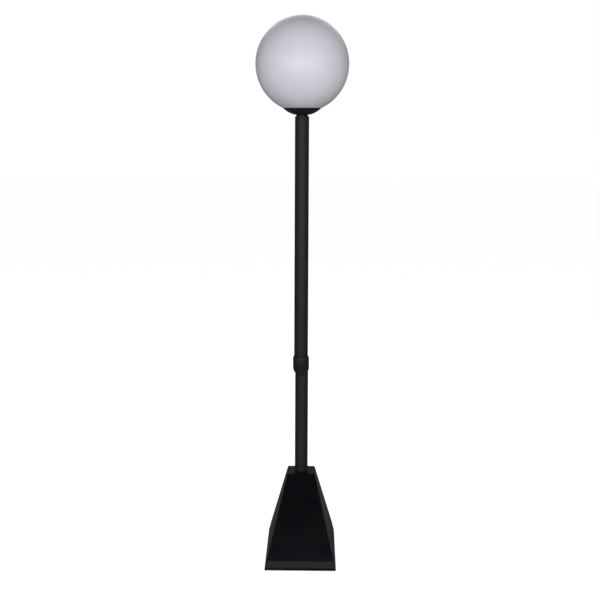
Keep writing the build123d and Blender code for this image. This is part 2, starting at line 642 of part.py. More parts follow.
def button_screw(z):
    """Button-head screw at the back of the upper tube, its shank pointing forwards."""
    place = [(0, z)]
    head_y = TUBE_BACK_Y + FIT_GAP
    hex_plane = back_plane(head_y + BUTTON_HEAD_HEIGHT - BUTTON_HEX_DEPTH)
    shank_y = -POLE_OFFSET + SHANK_START
    prism(back_plane(shank_y), TUBE_SCREW_RADIUS, head_y - shank_y, place)
    with BuildSketch(back_plane(head_y)) as head:
        with Locations(*place):
            Circle(BUTTON_HEAD_RADIUS)
    extrude(head.sketch, amount=BUTTON_HEAD_HEIGHT, taper=BUTTON_TAPER)
    prism(hex_plane, BUTTON_HEX_RADIUS, BUTTON_HEX_DEPTH, place, sides=6, mode=Mode.SUBTRACT)


with BuildPart() as tube_screws:
    for screw_z in tube_screw_zs:
        button_screw(screw_z)
save(tube_screws.part, "tube_screws")

with BuildPart() as plug_screw:
    button_screw(PLUG_SCREW_Z)
save(plug_screw.part, "plug_screw")

# ---------------------------------------------------------------- top of the pole

with BuildPart() as top_plug:
    plug_foot = pole_level(UPPER_TUBE_TOP_Z - PLUG_LENGTH)
    plug_hole = [(0, PLUG_SCREW_Z)]
    prism(plug_foot, TUBE_BORE - FIT_GAP, PLUG_LENGTH)
    prism(plug_foot, NIPPLE_RADIUS + THREAD_GAP, PLUG_LENGTH, mode=Mode.SUBTRACT)
    hole_start = back_plane(-POLE_OFFSET)
    prism(hole_start, tube_screw_hole, TUBE_RADIUS, plug_hole, mode=Mode.SUBTRACT)
save(top_plug.part, "top_plug")

with BuildPart() as neck_spacer:
    neck_foot = pole_level(UPPER_TUBE_TOP_Z)
    prism(neck_foot, NECK_RADIUS, NECK_HEIGHT)
    prism(neck_foot, NIPPLE_RADIUS + FIT_GAP, NECK_HEIGHT, mode=Mode.SUBTRACT)
save(neck_spacer.part, "neck_spacer")

NUT_HEIGHT = 3.0
NUT_RADIUS = 8.0
NIPPLE_TAIL = 8.0  # below the plug
NIPPLE_IN_HOLDER = 3.0

with BuildPart() as nipple:
    nipple_foot_z = UPPER_TUBE_TOP_Z - PLUG_LENGTH - NIPPLE_TAIL
    nipple_length = HOLDER_Z + NIPPLE_IN_HOLDER - nipple_foot_z
    prism(pole_level(nipple_foot_z), NIPPLE_RADIUS, nipple_length)
    prism(pole_level(nipple_foot_z), NIPPLE_BORE, nipple_length, mode=Mode.SUBTRACT)
save(nipple.part, "nipple")

nut_foot = pole_level(UPPER_TUBE_TOP_Z - PLUG_LENGTH - NUT_HEIGHT)

with BuildPart() as nipple_nut:
    prism(nut_foot, NUT_RADIUS, NUT_HEIGHT, sides=6)
    prism(nut_foot, NIPPLE_RADIUS + THREAD_GAP, NUT_HEIGHT, mode=Mode.SUBTRACT)
save(nipple_nut.part, "nipple_nut")

cup_inner_floor_z = CUP_FLOOR_Z + CUP_WALL
cup_nut_foot = pole_level(cup_inner_floor_z)

with BuildPart() as cup_nut:
    prism(cup_nut_foot, NUT_RADIUS, NUT_HEIGHT, sides=6)
    prism(cup_nut_foot, NIPPLE_RADIUS + THREAD_GAP, NUT_HEIGHT, mode=Mode.SUBTRACT)
save(cup_nut.part, "cup_nut")

# Cup: flat floor, bulging flank, short upright lip, and a bevel inside that follows the glass
RIM_CLEARANCE = 0.25


def flank_point(z, wall=0.0):
    """Point of the flank's arc at a height, on its outside or a wall's thickness inside."""
    rise = sqrt((FLANK_RADIUS - wall) ** 2 - (FLANK_CENTRE_Z - z) ** 2)
    return FLANK_CENTRE_RADIUS + rise, z


CUP_RIM_Z = globe_underside(CUP_RIM_RADIUS) - RIM_CLEARANCE
BEVEL_FOOT_Z = globe_underside(BEVEL_INNER_RADIUS) - RIM_CLEARANCE

with BuildPart() as cup:
    with BuildSketch(pole_section):
        with BuildLine():
            hole_radius = NIPPLE_RADIUS + FIT_GAP
            mid_z = (CUP_FLOOR_Z + CUP_RIM_Z) / 2
            outer_foot = flank_point(CUP_FLOOR_Z)
            outer_top = (CUP_RIM_RADIUS, CUP_RIM_Z - CUP_LIP)
            inner_top = (BEVEL_INNER_RADIUS, BEVEL_FOOT_Z)
            inner_foot = flank_point(cup_inner_floor_z, CUP_WALL)
            ThreePointArc(outer_foot, flank_point(mid_z), outer_top)
            Polyline(outer_top, (CUP_RIM_RADIUS, CUP_RIM_Z), inner_top)
            ThreePointArc(inner_top, flank_point(mid_z, CUP_WALL), inner_foot)
            Polyline(
                inner_foot,
                (hole_radius, cup_inner_floor_z),
                (hole_radius, CUP_FLOOR_Z),
                outer_foot,
            )
        make_face()
    revolve(axis=pole_axis)
save(cup.part, "cup")

SLEEVE_RADIUS = 9.0
RIVET_RADIUS = 1.2
RIVET_HEAD_RADIUS = 2.2
RIVET_HEAD_HEIGHT = 0.8
RIVET_REACH = 27.5
CLIP_INNER = 24.5
CLIP_GLASS_GAP = 0.5
CLIP_OUTER = GLOBE_NECK_RADIUS - GLASS - CLIP_GLASS_GAP
CLIP_WIDTH = 9.0
CLIP_THICKNESS = 0.6
CLIP_HEIGHT = 9.0
CLIP_BEND = 0.8
CLIP_LEAN = 1.2  # the leaf's foot stands this far inside its waist
CLIP_WAIST = 0.55 * CLIP_HEIGHT
CLIP_LIP_REACH = 4.0
CLIP_LIP_RISE = 2.0
CLIP_ANGLES = (90.0, 210.0, 330.0)
rivet_places = [
    (RIVET_REACH * cos(radians(a)), RIVET_REACH * sin(radians(a))) for a in CLIP_ANGLES
]
rivet_hole = RIVET_RADIUS + THREAD_GAP

with BuildPart() as gallery_plate:
    gallery_underside = pole_level(GALLERY_Z)
    sleeve_foot_z = cup_inner_floor_z + NUT_HEIGHT
    sleeve_length = GALLERY_TOP_Z - sleeve_foot_z
    prism(gallery_underside, GALLERY_RADIUS, GALLERY_THICKNESS)
    prism(gallery_underside, rivet_hole, GALLERY_THICKNESS, rivet_places, mode=Mode.SUBTRACT)
    # short sleeve down to the cup's nut
    prism(pole_level(sleeve_foot_z), SLEEVE_RADIUS, sleeve_length)
    prism(pole_level(sleeve_foot_z), hole_radius, sleeve_length, mode=Mode.SUBTRACT)
save(gallery_plate.part, "gallery_plate")

with BuildPart() as globe_clips:
    half_leaf = CLIP_THICKNESS / 2
    for angle in CLIP_ANGLES:
        clip_plane = Plane(
            origin=(0, -POLE_OFFSET, GALLERY_TOP_Z),
            x_dir=(cos(radians(angle)), sin(radians(angle)), 0),
            z_dir=(sin(radians(angle)), -cos(radians(angle)), 0),
        )
        with BuildSketch(clip_plane):
            with BuildLine():
                # foot on the gallery, upright leaf and a lip bent inwards
                leaf = FilletPolyline(
                    (CLIP_INNER, half_leaf),
                    (CLIP_OUTER - half_leaf - CLIP_LEAN, half_leaf),
                    (CLIP_OUTER - half_leaf, CLIP_WAIST),
                    (CLIP_OUTER - CLIP_LIP_REACH, CLIP_HEIGHT + CLIP_LIP_RISE),
                    radius=CLIP_BEND,
                )
                offset(leaf, amount=half_leaf, side=Side.BOTH, kind=Kind.INTERSECTION)
            make_face()
        extrude(amount=CLIP_WIDTH / 2, both=True)
    clip_foot = pole_level(GALLERY_TOP_Z)
    prism(clip_foot, rivet_hole, CLIP_THICKNESS, rivet_places, mode=Mode.SUBTRACT)
save(globe_clips.part, "globe_clips")

with BuildPart() as clip_rivets:
    rivet_head = pole_level(GALLERY_TOP_Z + CLIP_THICKNESS)
    prism(gallery_underside, RIVET_RADIUS, GALLERY_THICKNESS + CLIP_THICKNESS, rivet_places)
    prism(rivet_head, RIVET_HEAD_RADIUS, RIVET_HEAD_HEIGHT, rivet_places)
save(clip_rivets.part, "clip_rivets")

with BuildPart() as gasket:
    gasket_foot = pole_level(GALLERY_TOP_Z)
    gasket_height = GASKET_THICKNESS - FIT_GAP
    prism(gasket_foot, GLOBE_NECK_RADIUS, gasket_height)
    prism(gasket_foot, GLOBE_NECK_RADIUS - GLASS, gasket_height, mode=Mode.SUBTRACT)
save(gasket.part, "gasket")

# ---------------------------------------------------------------- lampholder

HOLDER_WALL = 4.0
HOLDER_CAP_HEIGHT = 9.0
HOLDER_CAP_FLOOR = 4.0
HOLDER_FLOOR_Z = HOLDER_Z + 16.0
HOLDER_FOOT_EDGE = 3.0
HOLDER_MOUTH_EDGE = 1.5
RIB_COUNT = 24
RIB_GROOVE = (1.2, 2.0)
RIB_FOOT = 3.0
RIB_HEIGHT = 14.0
SHELL_WALL = 0.6
SHELL_HEIGHT = 24.0
SHELL_HOLE_RADIUS = 7.0

with BuildPart() as holder_cap:
    holder_foot = pole_level(HOLDER_Z)
    cap_floor = pole_level(HOLDER_Z + HOLDER_CAP_FLOOR)
    prism(holder_foot, HOLDER_RADIUS, HOLDER_CAP_HEIGHT)
    fillet(edges().sort_by(Axis.Z)[0], radius=HOLDER_FOOT_EDGE)
    prism(holder_foot, NIPPLE_RADIUS + THREAD_GAP, HOLDER_CAP_FLOOR, mode=Mode.SUBTRACT)
    prism(cap_floor, HOLDER_RADIUS - HOLDER_WALL, HOLDER_CAP_HEIGHT, mode=Mode.SUBTRACT)
save(holder_cap.part, "holder_cap")

with BuildPart() as holder_body:
    body_foot_z = HOLDER_Z + HOLDER_CAP_HEIGHT
    shell_seat = SHELL_RADIUS + SHELL_WALL + FIT_GAP
    prism(pole_level(body_foot_z), HOLDER_RADIUS, HOLDER_HEIGHT - HOLDER_CAP_HEIGHT)
    fillet(edges().sort_by(Axis.Z)[-1], radius=HOLDER_MOUTH_EDGE)
    prism(pole_level(HOLDER_FLOOR_Z), shell_seat, HOLDER_HEIGHT, mode=Mode.SUBTRACT)
    # grip ribs round the outside
    with BuildSketch(pole_level(body_foot_z + RIB_FOOT)):
        with PolarLocations(HOLDER_RADIUS, RIB_COUNT):
            Rectangle(*RIB_GROOVE)
    extrude(amount=RIB_HEIGHT, mode=Mode.SUBTRACT)
save(holder_body.part, "holder_body")

with BuildPart() as screw_shell:
    shell_foot = pole_level(HOLDER_FLOOR_Z)
    prism(shell_foot, SHELL_RADIUS + SHELL_WALL, SHELL_HEIGHT)
    prism(pole_level(HOLDER_FLOOR_Z + SHELL_WALL), SHELL_RADIUS, SHELL_HEIGHT, mode=Mode.SUBTRACT)
    prism(shell_foot, SHELL_HOLE_RADIUS, SHELL_WALL, mode=Mode.SUBTRACT)
save(screw_shell.part, "screw_shell")

CONTACT_WIDTH = 5.0
# side view of the tongue: a foot, then a leaf that rises to the bulb's tip and comes back
contact_foot = [(-5.0, 0), (5.0, 0), (5.0, 0.8), (-3.0, 0.8)]
contact_leaf = [(3.5, 4.6), (3.0, 5.2), (-5.0, 0.9)]

with BuildPart() as centre_contact:
    # springy tongue folded up from the holder's floor
    contact_origin = (0, -POLE_OFFSET + CONTACT_WIDTH / 2, HOLDER_FLOOR_Z)
    with BuildSketch(Plane(origin=contact_origin, x_dir=(1, 0, 0), z_dir=(0, -1, 0))):
        with BuildLine():
            Polyline(*contact_foot, *contact_leaf, close=True)
        make_face()
    extrude(amount=CONTACT_WIDTH)
save(centre_contact.part, "centre_contact")

# ---------------------------------------------------------------- globe


def globe_arc(inset, neck_radius):
    """Elliptical outline from the neck up to the top, on the outside or inset into the glass."""
    half_width, half_height = GLOBE_RADIUS - inset, GLOBE_HALF_HEIGHT - inset
    neck_angle = degrees(acos(neck_radius / half_width))
    centre = (0, GLOBE_CENTRE_Z)
    size = neck_angle + 90
    return EllipticalCenterArc(centre, half_width, half_height, -neck_angle, arc_size=size)


with BuildPart() as globe:
    with BuildSketch(pole_section):
        with BuildLine():
            neck_bore = GLOBE_NECK_RADIUS - GLASS
            outside = globe_arc(0, GLOBE_NECK_RADIUS)
            inside = globe_arc(GLASS, neck_bore)
            mouth = [(GLOBE_NECK_RADIUS, GLOBE_MOUTH_Z), (neck_bore, GLOBE_MOUTH_Z)]
            Polyline(outside @ 0, *mouth, inside @ 0)
            Line(outside @ 1, inside @ 1)
        make_face()
    revolve(axis=pole_axis)
save(globe.part, "globe")

# ---------------------------------------------------------------- bulb

TIP_RADIUS = 4.0
TIP_HEIGHT = 2.0
TIP_EDGE = 1.2
CAP_TUBE_HEIGHT = 22.0
CAP_FOOT_RADIUS = 5.0
CAP_CONE_RADIUS = 11.5
CAP_CONE_DROP = 1.0  # below the first thread
THREAD_TURNS = 4
THREAD_DEPTH = 0.6
THREAD_FOOT = 5.0
THREAD_HEIGHT = 14.0
THREAD_CREST = (0.35, 0.65)  # the crest's start and end within each pitch
COLLAR_STEP = 4.5  # straight stretch that stands in the holder's mouth
COLLAR_FOOT_RADIUS = CAP_RADIUS + 1.1
COLLAR_MID_RADIUS = 19.5
RIM_RADIUS = 26.0
BULB_WALL = 1.0
BULB_CAP_Z = BULB_Z + TIP_HEIGHT
COLLAR_Z = BULB_CAP_Z + CAP_TUBE_HEIGHT
BULB_CENTRE_Z = BULB_Z + BULB_LENGTH - BULB_RADIUS
RIM_Z = BULB_CENTRE_Z - sqrt(BULB_RADIUS**2 - RIM_RADIUS**2)

with BuildPart() as bulb_contact:
    prism(pole_level(BULB_Z), TIP_RADIUS, TIP_HEIGHT)
    fillet(edges().sort_by(Axis.Z)[0], radius=TIP_EDGE)
save(bulb_contact.part, "bulb_contact")

with BuildPart() as bulb_cap:
    # insulated foot, then rounded threads, drawn as rings
    root_radius = CAP_RADIUS - THREAD_DEPTH
    thread_start_z = BULB_CAP_Z + THREAD_FOOT
    pitch = THREAD_HEIGHT / THREAD_TURNS
    cone_top_z = thread_start_z - CAP_CONE_DROP
    outline = [(0, BULB_CAP_Z), (CAP_FOOT_RADIUS, BULB_CAP_Z), (CAP_CONE_RADIUS, cone_top_z)]
    for turn in range(THREAD_TURNS):
        root_z = thread_start_z + turn * pitch
        outline.append((root_radius, root_z))
        for share in THREAD_CREST:
            outline.append((CAP_RADIUS, root_z + pitch * share))
    outline += [(root_radius, thread_start_z + THREAD_HEIGHT), (root_radius, COLLAR_Z), (0, COLLAR_Z)]
    with BuildSketch(pole_section):
        with BuildLine():
            Polyline(*outline, close=True)
        make_face()
    revolve(axis=pole_axis)
save(bulb_cap.part, "bulb_cap")

with BuildPart() as bulb_collar:
    with BuildSketch(pole_section):
        with BuildLine():
            step_z = COLLAR_Z + COLLAR_STEP
            step_point = (COLLAR_FOOT_RADIUS, step_z)
            rim_point = (RIM_RADIUS, RIM_Z)
            Polyline(rim_point, (0, RIM_Z), (0, COLLAR_Z), (CAP_RADIUS, COLLAR_Z), step_point)
            ThreePointArc(step_point, (COLLAR_MID_RADIUS, (step_z + RIM_Z) / 2), rim_point)
        make_face()
    revolve(axis=pole_axis)
save(bulb_collar.part, "bulb_collar")

with BuildPart() as bulb_glass:
    with BuildSketch(pole_section):
        with BuildLine():
            inner_radius = BULB_RADIUS - BULB_WALL
            inner_rim = sqrt(inner_radius**2 - (BULB_CENTRE_Z - RIM_Z) ** 2)
            inner_top = (0, BULB_CENTRE_Z + inner_radius)
            outer_top = (0, BULB_CENTRE_Z + BULB_RADIUS)
            ThreePointArc((RIM_RADIUS, RIM_Z), (BULB_RADIUS, BULB_CENTRE_Z), outer_top)
            Line(outer_top, inner_top)
            ThreePointArc(inner_top, (inner_radius, BULB_CENTRE_Z), (inner_rim, RIM_Z))
            Line((inner_rim, RIM_Z), (RIM_RADIUS, RIM_Z))
        make_face()
    revolve(axis=pole_axis)
save(bulb_glass.part, "bulb_glass")
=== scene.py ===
"""Looks of the globe floor lamp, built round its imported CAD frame.

Metres, +Z up, the front is -Y. Every place and size comes from the frame's nodes. The visible
pieces are rebuilt here as fine meshes on the CAD's own outlines, and the rest keep their CAD mesh
with a better material.
"""

import json
import math

import bmesh
import bpy
from mathutils import Matrix, Vector


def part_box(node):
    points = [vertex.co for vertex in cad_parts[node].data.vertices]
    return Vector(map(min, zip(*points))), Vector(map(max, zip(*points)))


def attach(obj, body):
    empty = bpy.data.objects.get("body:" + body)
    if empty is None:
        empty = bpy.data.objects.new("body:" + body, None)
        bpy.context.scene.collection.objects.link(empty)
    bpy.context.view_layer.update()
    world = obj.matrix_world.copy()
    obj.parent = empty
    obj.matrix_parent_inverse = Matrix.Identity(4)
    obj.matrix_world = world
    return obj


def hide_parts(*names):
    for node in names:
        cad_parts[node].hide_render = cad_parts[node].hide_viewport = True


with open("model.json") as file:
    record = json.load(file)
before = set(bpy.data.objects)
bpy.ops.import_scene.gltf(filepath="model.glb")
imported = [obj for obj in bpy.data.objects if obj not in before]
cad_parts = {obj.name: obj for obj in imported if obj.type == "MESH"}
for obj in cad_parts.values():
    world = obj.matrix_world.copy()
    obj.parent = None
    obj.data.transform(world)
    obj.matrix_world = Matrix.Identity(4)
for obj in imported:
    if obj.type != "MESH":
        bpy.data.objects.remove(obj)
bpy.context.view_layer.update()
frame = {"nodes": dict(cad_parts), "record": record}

MM = 0.001
TAU = 2 * math.pi
ROUND = 192  # facets round a turned piece
ROUND_LARGE = 256  # facets round the globe and the cup
ROUND_SMALL = 96  # facets round a screw or a carver
FACETS = 8  # facets round a small edge

# Sizes of the CAD's own sections that no node's box gives
GLASS = 3 * MM
TUBE_WALL = 2 * MM
CUP_WALL = 1.5 * MM
GALLERY_SHEET = 1.5 * MM
COVER_WALL = 3 * MM
FIT_GAP = 0.05 * MM  # between a slid-in piece and its bore
EDGE_BREAK = 0.3 * MM  # small rounding or chamfer on a machined edge


# ---------------------------------------------------------------- places, from the frame


def span(node, axis):
    """Lowest and highest value of a node along an axis: 0 for X, 1 for Y, 2 for Z."""
    low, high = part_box(node)
    return low[axis], high[axis]


def middle(node, axis):
    """Centre of a node's box along an axis."""
    return sum(span(node, axis)) / 2


POLE_Y = middle("neck_spacer", 1)  # the upper tube's axis stands at x = 0, y = POLE_Y
TUBE_RADIUS = (span("upper_tube", 0)[1] - span("upper_tube", 0)[0]) / 2
TUBE_BORE = TUBE_RADIUS - TUBE_WALL
ARM_Z = middle("face_washer", 2)  # the swivel's axis


# ---------------------------------------------------------------- mesh building


def finish_mesh(name, mesh_data, smooth_angle=32):
    """Makes a shown object from a bmesh, smooth except at edges sharper than smooth_angle."""
    bmesh.ops.recalc_face_normals(mesh_data, faces=mesh_data.faces)
    mesh = bpy.data.meshes.new(name)
    mesh_data.to_mesh(mesh)
    mesh_data.free()
    mesh.shade_smooth()
    mesh.set_sharp_from_angle(angle=math.radians(smooth_angle))
    piece = bpy.data.objects.new(name, mesh)
    bpy.context.scene.collection.objects.link(piece)
    return piece


def arc(centre, radius, start, end, steps):
    """Points (r, z) on an arc from start to end degrees."""
    angles = [math.radians(start + (end - start) * i / steps) for i in range(steps + 1)]
    return [(centre[0] + radius * math.cos(a), centre[1] + radius * math.sin(a)) for a in angles]


def arc_through(first, middle_point, last, steps):
    """Points on the arc through three points (r, z), the ends included."""
    (ax, ay), (bx, by), (cx, cy) = first, middle_point, last
    d = 2 * (ax * (by - cy) + bx * (cy - ay) + cx * (ay - by))
    a2, b2, c2 = ax * ax + ay * ay, bx * bx + by * by, cx * cx + cy * cy
    ux = (a2 * (by - cy) + b2 * (cy - ay) + c2 * (ay - by)) / d
    uy = (a2 * (cx - bx) + b2 * (ax - cx) + c2 * (bx - ax)) / d
    radius = math.hypot(ax - ux, ay - uy)
    start = math.degrees(math.atan2(ay - uy, ax - ux))
    via = math.degrees(math.atan2(by - uy, bx - ux))
    end = math.degrees(math.atan2(cy - uy, cx - ux))
    via = start + (via - start + 180) % 360 - 180
    end = via + (end - via + 180) % 360 - 180
    return arc((ux, uy), radius, start, end, steps)


def rounded(points, radii, steps=FACETS, closed=True):
    """An outline with its corners rounded: points (u, v), one radius for each."""
    count = len(points)
    outline = []
    for i, (point, radius) in enumerate(zip(points, radii)):
        ends = i in (0, count - 1) and not closed
        if radius <= 0 or ends:
            outline.append(tuple(point))
            continue
        here = Vector(point)
        to_last = (Vector(points[i - 1]) - here).normalized()
        to_next = (Vector(points[(i + 1) % count]) - here).normalized()
        half = to_last.angle(to_next) / 2
        reach = radius / math.tan(half)
        centre = here + (to_last + to_next).normalized() * radius / math.sin(half)
        start, end = here + to_last * reach - centre, here + to_next * reach - centre
        turn = start.angle_signed(end)
        for step in range(steps + 1):
            swing = Matrix.Rotation(-turn * step / steps, 2)
            outline.append(tuple(centre + swing @ start))
    return outline


def lathe(name, outline, closed=True, around=ROUND, place=None, smooth_angle=32):
    """Turns an outline of (radius, z) points about the upper tube's axis, or about place's Z axis.

    A radius is a number or a function of the angle, so a ring can be a hexagon or part of a thread.
    A point on the axis becomes a single vertex. A closed outline makes a ring-shaped solid.
    """
    place = place or Matrix.Translation((0, POLE_Y, 0))
    bm = bmesh.new()
    rings = []
    for radius, height in outline:
        if not callable(radius) and radius < 1e-6:
            rings.append([bm.verts.new((0, 0, height))])
            continue
        ring = []
        for i in range(around):
            a = TAU * i / around
            r = radius(a) if callable(radius) else radius
            ring.append(bm.verts.new((r * math.cos(a), r * math.sin(a), height)))
        rings.append(ring)
    pairs = list(zip(rings, rings[1:]))
    if closed and len(rings[0]) > 1 and len(rings[-1]) > 1:
        pairs.append((rings[-1], rings[0]))
    for lower, upper in pairs:
        for i in range(around):
            j = (i + 1) % around
            corners = [lower[i % len(lower)], lower[j % len(lower)]]
            corners += [upper[j % len(upper)], upper[i % len(upper)]]
            unique = list(dict.fromkeys(corners))
            if len(unique) > 2:
                bm.faces.new(unique)
    bmesh.ops.transform(bm, matrix=place, verts=bm.verts)
    return finish_mesh(name, bm, smooth_angle)


def polygon_ring(radius, sides):
    """Radius of a regular polygon's outline as a function of the angle."""
    step = TAU / sides
    return lambda a: radius * math.cos(step / 2) / math.cos(a % step - step / 2)


def thread_ring(root, depth, pitch, height):
    """Radius of a rolled thread, at a height above its start, as a function of the angle."""
    return lambda a: root + depth * (0.5 - 0.5 * math.cos(TAU * height / pitch - a))


def threaded(root, depth, pitch, low, high, run=0.3):
    """Rings of a rolled thread between two heights. It fades in and out over run of a turn."""
    count = int(round((high - low) / pitch * 16))
    rings = []
    for i in range(count + 1):
        height = (high - low) * i / count
        ends = min(height, high - low - height) / (run * pitch)
        rings.append((thread_ring(root, depth * min(1, ends), pitch, height), low + height))
    return rings


def bent_route(corner, start, end, bend_radius, steps=48):
    """Stations, in the YZ plane, of a run that bends once round a right angle at a corner.

    Each station is its point and its direction. The places are given as (y, z).
    """
    corner, first, last = (Vector((0, *p)) for p in (corner, start, end))
    inward, outward = (corner - first).normalized(), (last - corner).normalized()
    centre = corner + (outward - inward) * bend_radius
    route = [(first, inward)]
    for step in range(steps + 1):
        a = math.pi / 2 * step / steps
        point = centre + (inward * math.sin(a) - outward * math.cos(a)) * bend_radius
        route.append((point, inward * math.cos(a) + outward * math.sin(a)))
    return route + [(last, outward)]


def swept(name, route, loops, around=96, smooth_angle=32):
    """Runs round sections along a route in the YZ plane.

    loops lists (station, radius, setback) in order along the skin: setback moves a ring from its
    station against the route's direction. The last loop joins the first.
    """
    bm = bmesh.new()
    side = Vector((1, 0, 0))
    rings = []
    for station, radius, setback in loops:
        point, direction = route[station]
        up = direction.cross(side).normalized()
        centre = point - direction * setback
        ring = []
        for i in range(around):
            a = TAU * i / around
            ring.append(bm.verts.new(centre + (side * math.cos(a) + up * math.sin(a)) * radius))
        rings.append(ring)
    for lower, upper in zip(rings, rings[1:] + rings[:1]):
        for i in range(around):
            j = (i + 1) % around
            bm.faces.new((lower[i], lower[j], upper[j], upper[i]))
    return finish_mesh(name, bm, smooth_angle)


def hollow_bend(name, route, outer, inner, first_edge, last_edge, last_length=None):
    """A bent tube with rounded outer edges at its two ends.

    The last edge is a quarter of an ellipse if its length along the tube differs from its depth.
    """
    last_length = last_length or last_edge
    last = len(route) - 1
    loops = [(0, inner, 0)]
    for x, y in arc((0, 0), first_edge, 180, 90, FACETS):
        loops.append((0, outer - first_edge + y, -(first_edge + x)))
    loops += [(i, outer, 0) for i in range(1, last)]
    for x, y in arc((0, 0), 1, 90, 0, FACETS):
        loops.append((last, outer - last_edge * (1 - y), last_length * (1 - x)))
    loops += [(i, inner, 0) for i in range(last, 0, -1)]
    return swept(name, route, loops)


def rod(radius, place, length):
    """Plain cylinder from place's origin along its Z axis, used to carve."""
    outline = [(0, 0), (radius, 0), (radius, length), (0, length)]
    return lathe("carver", outline, False, ROUND_SMALL, place)


def bake(piece, smooth_angle=32):
    """Makes a piece's modifiers permanent."""
    graph = bpy.context.evaluated_depsgraph_get()
    mesh = bpy.data.meshes.new_from_object(piece.evaluated_get(graph))
    piece.modifiers.clear()
    piece.data = mesh
    mesh.shade_smooth()
    mesh.set_sharp_from_angle(angle=math.radians(smooth_angle))
    return piece


def even_normals(piece):
    """Keeps broad flat faces flat beside their rounded edges."""
    weighted = piece.modifiers.new("even_normals", "WEIGHTED_NORMAL")
    weighted.keep_sharp = True
    return piece


def carve(piece, *carvers):
    """Cuts carvers out of a piece and removes them."""
    for carver in carvers:
        cut = piece.modifiers.new("cut", "BOOLEAN")
        cut.operation = "DIFFERENCE"
        cut.solver = "EXACT"
        cut.object = carver
    bake(piece)
    for carver in carvers:
        bpy.data.objects.remove(carver)
    return piece


def joined(name, pieces):
    """One object from several."""
    bm = bmesh.new()
    for piece in pieces:
        bm.from_mesh(piece.data)
        bpy.data.objects.remove(piece)
    return finish_mesh(name, bm)


def upright(x, y, z):
    """Placement at a point, its Z axis up."""
    return Matrix.Translation((x, y, z))


def facing_back(x, y, z):
    """Placement at a point, its Z axis pointing to the back."""
    return Matrix.Translation((x, y, z)) @ Matrix.Rotation(-math.pi / 2, 4, "X")


def facing_front(x, y, z):
    """Placement at a point, its Z axis pointing to the front."""
    return Matrix.Translation((x, y, z)) @ Matrix.Rotation(math.pi / 2, 4, "X")


def facing_down(x, y, z):
    """Placement at a point, its Z axis pointing down."""
    return Matrix.Translation((x, y, z)) @ Matrix.Rotation(math.pi, 4, "X")


def ring_solid(name, inner, outer, low, high, edge, place=None):
    """Turned ring with rounded outer edges."""
    corners = [(inner, low), (outer, low), (outer, high), (inner, high)]
    outline = rounded(corners, (0, edge, edge, 0))
    return lathe(name, outline, place=place)


# ---------------------------------------------------------------- materials


class Shader:
    """A Principled material with procedural colour, roughness and relief."""

    def __init__(self, name, colour, roughness, metallic=0.0, **sockets):
        self.material = bpy.data.materials.new(name)
        self.material.use_nodes = True
        self.material.diffuse_color = (*colour, 1)
        self.tree = self.material.node_tree
        self.bsdf = self.tree.nodes["Principled BSDF"]
        self.bsdf.inputs["Base Color"].default_value = (*colour, 1)
        self.bsdf.inputs["Roughness"].default_value = roughness
        self.bsdf.inputs["Metallic"].default_value = metallic
        for socket, value in sockets.items():
            self.bsdf.inputs[socket.replace("_", " ")].default_value = value
        self.place = self.tree.nodes.new("ShaderNodeTexCoord").outputs["Object"]
        self.last_bump = None

    def link(self, output, target):
        self.tree.links.new(output, target)

    def stretched(self, scale):
        """Object coordinates scaled by a vector, for grain that runs one way."""
        mapping = self.tree.nodes.new("ShaderNodeMapping")
        mapping.inputs["Scale"].default_value = scale
        self.link(self.place, mapping.inputs["Vector"])
        return mapping.outputs["Vector"]

    def noise(self, size, detail=2.0, rough=0.5, vector=None):
        """Noise whose features are about size metres across."""
        texture = self.tree.nodes.new("ShaderNodeTexNoise")
        texture.inputs["Scale"].default_value = 1 / size
        texture.inputs["Detail"].default_value = detail
        texture.inputs["Roughness"].default_value = rough
        self.link(vector or self.place, texture.inputs["Vector"])
        return texture.outputs["Fac"]

    def math(self, operation, *values):
        """One step of arithmetic."""
        node = self.tree.nodes.new("ShaderNodeMath")
        node.operation = operation
        for value, socket in zip(values, node.inputs):
            self.link(value, socket)
        return node.outputs["Value"]

    def ramp(self, value, low, high, start=0.35, end=0.65):
        """Maps a 0 to 1 value onto low to high, between start and end."""
        node = self.tree.nodes.new("ShaderNodeMapRange")
        node.inputs["From Min"].default_value = start
        node.inputs["From Max"].default_value = end
        node.inputs["To Min"].default_value = low
        node.inputs["To Max"].default_value = high
        self.link(value, node.inputs["Value"])
        return node.outputs["Result"]

    def colours(self, value, dark, light, start=0.35, end=0.65):
        """Base colour that runs from dark to light with a value."""
        node = self.tree.nodes.new("ShaderNodeValToRGB")
        node.color_ramp.elements[0].position = start
        node.color_ramp.elements[0].color = (*dark, 1)
        node.color_ramp.elements[1].position = end
        node.color_ramp.elements[1].color = (*light, 1)
        self.link(value, node.inputs["Fac"])
        self.link(node.outputs["Color"], self.bsdf.inputs["Base Color"])
        return self

    def roughness(self, value, low, high, start=0.35, end=0.65):
        """Roughness that varies with a value."""
        self.link(self.ramp(value, low, high, start, end), self.bsdf.inputs["Roughness"])
        return self

    def bump(self, value, depth):
        """Relief of a depth in metres, on top of any relief already there."""
        node = self.tree.nodes.new("ShaderNodeBump")
        node.inputs["Strength"].default_value = 1.0
        node.inputs["Distance"].default_value = depth
        self.link(value, node.inputs["Height"])
        if self.last_bump:
            self.link(self.last_bump, node.inputs["Normal"])
        self.last_bump = node.outputs["Normal"]
        self.link(self.last_bump, self.bsdf.inputs["Normal"])
        return self


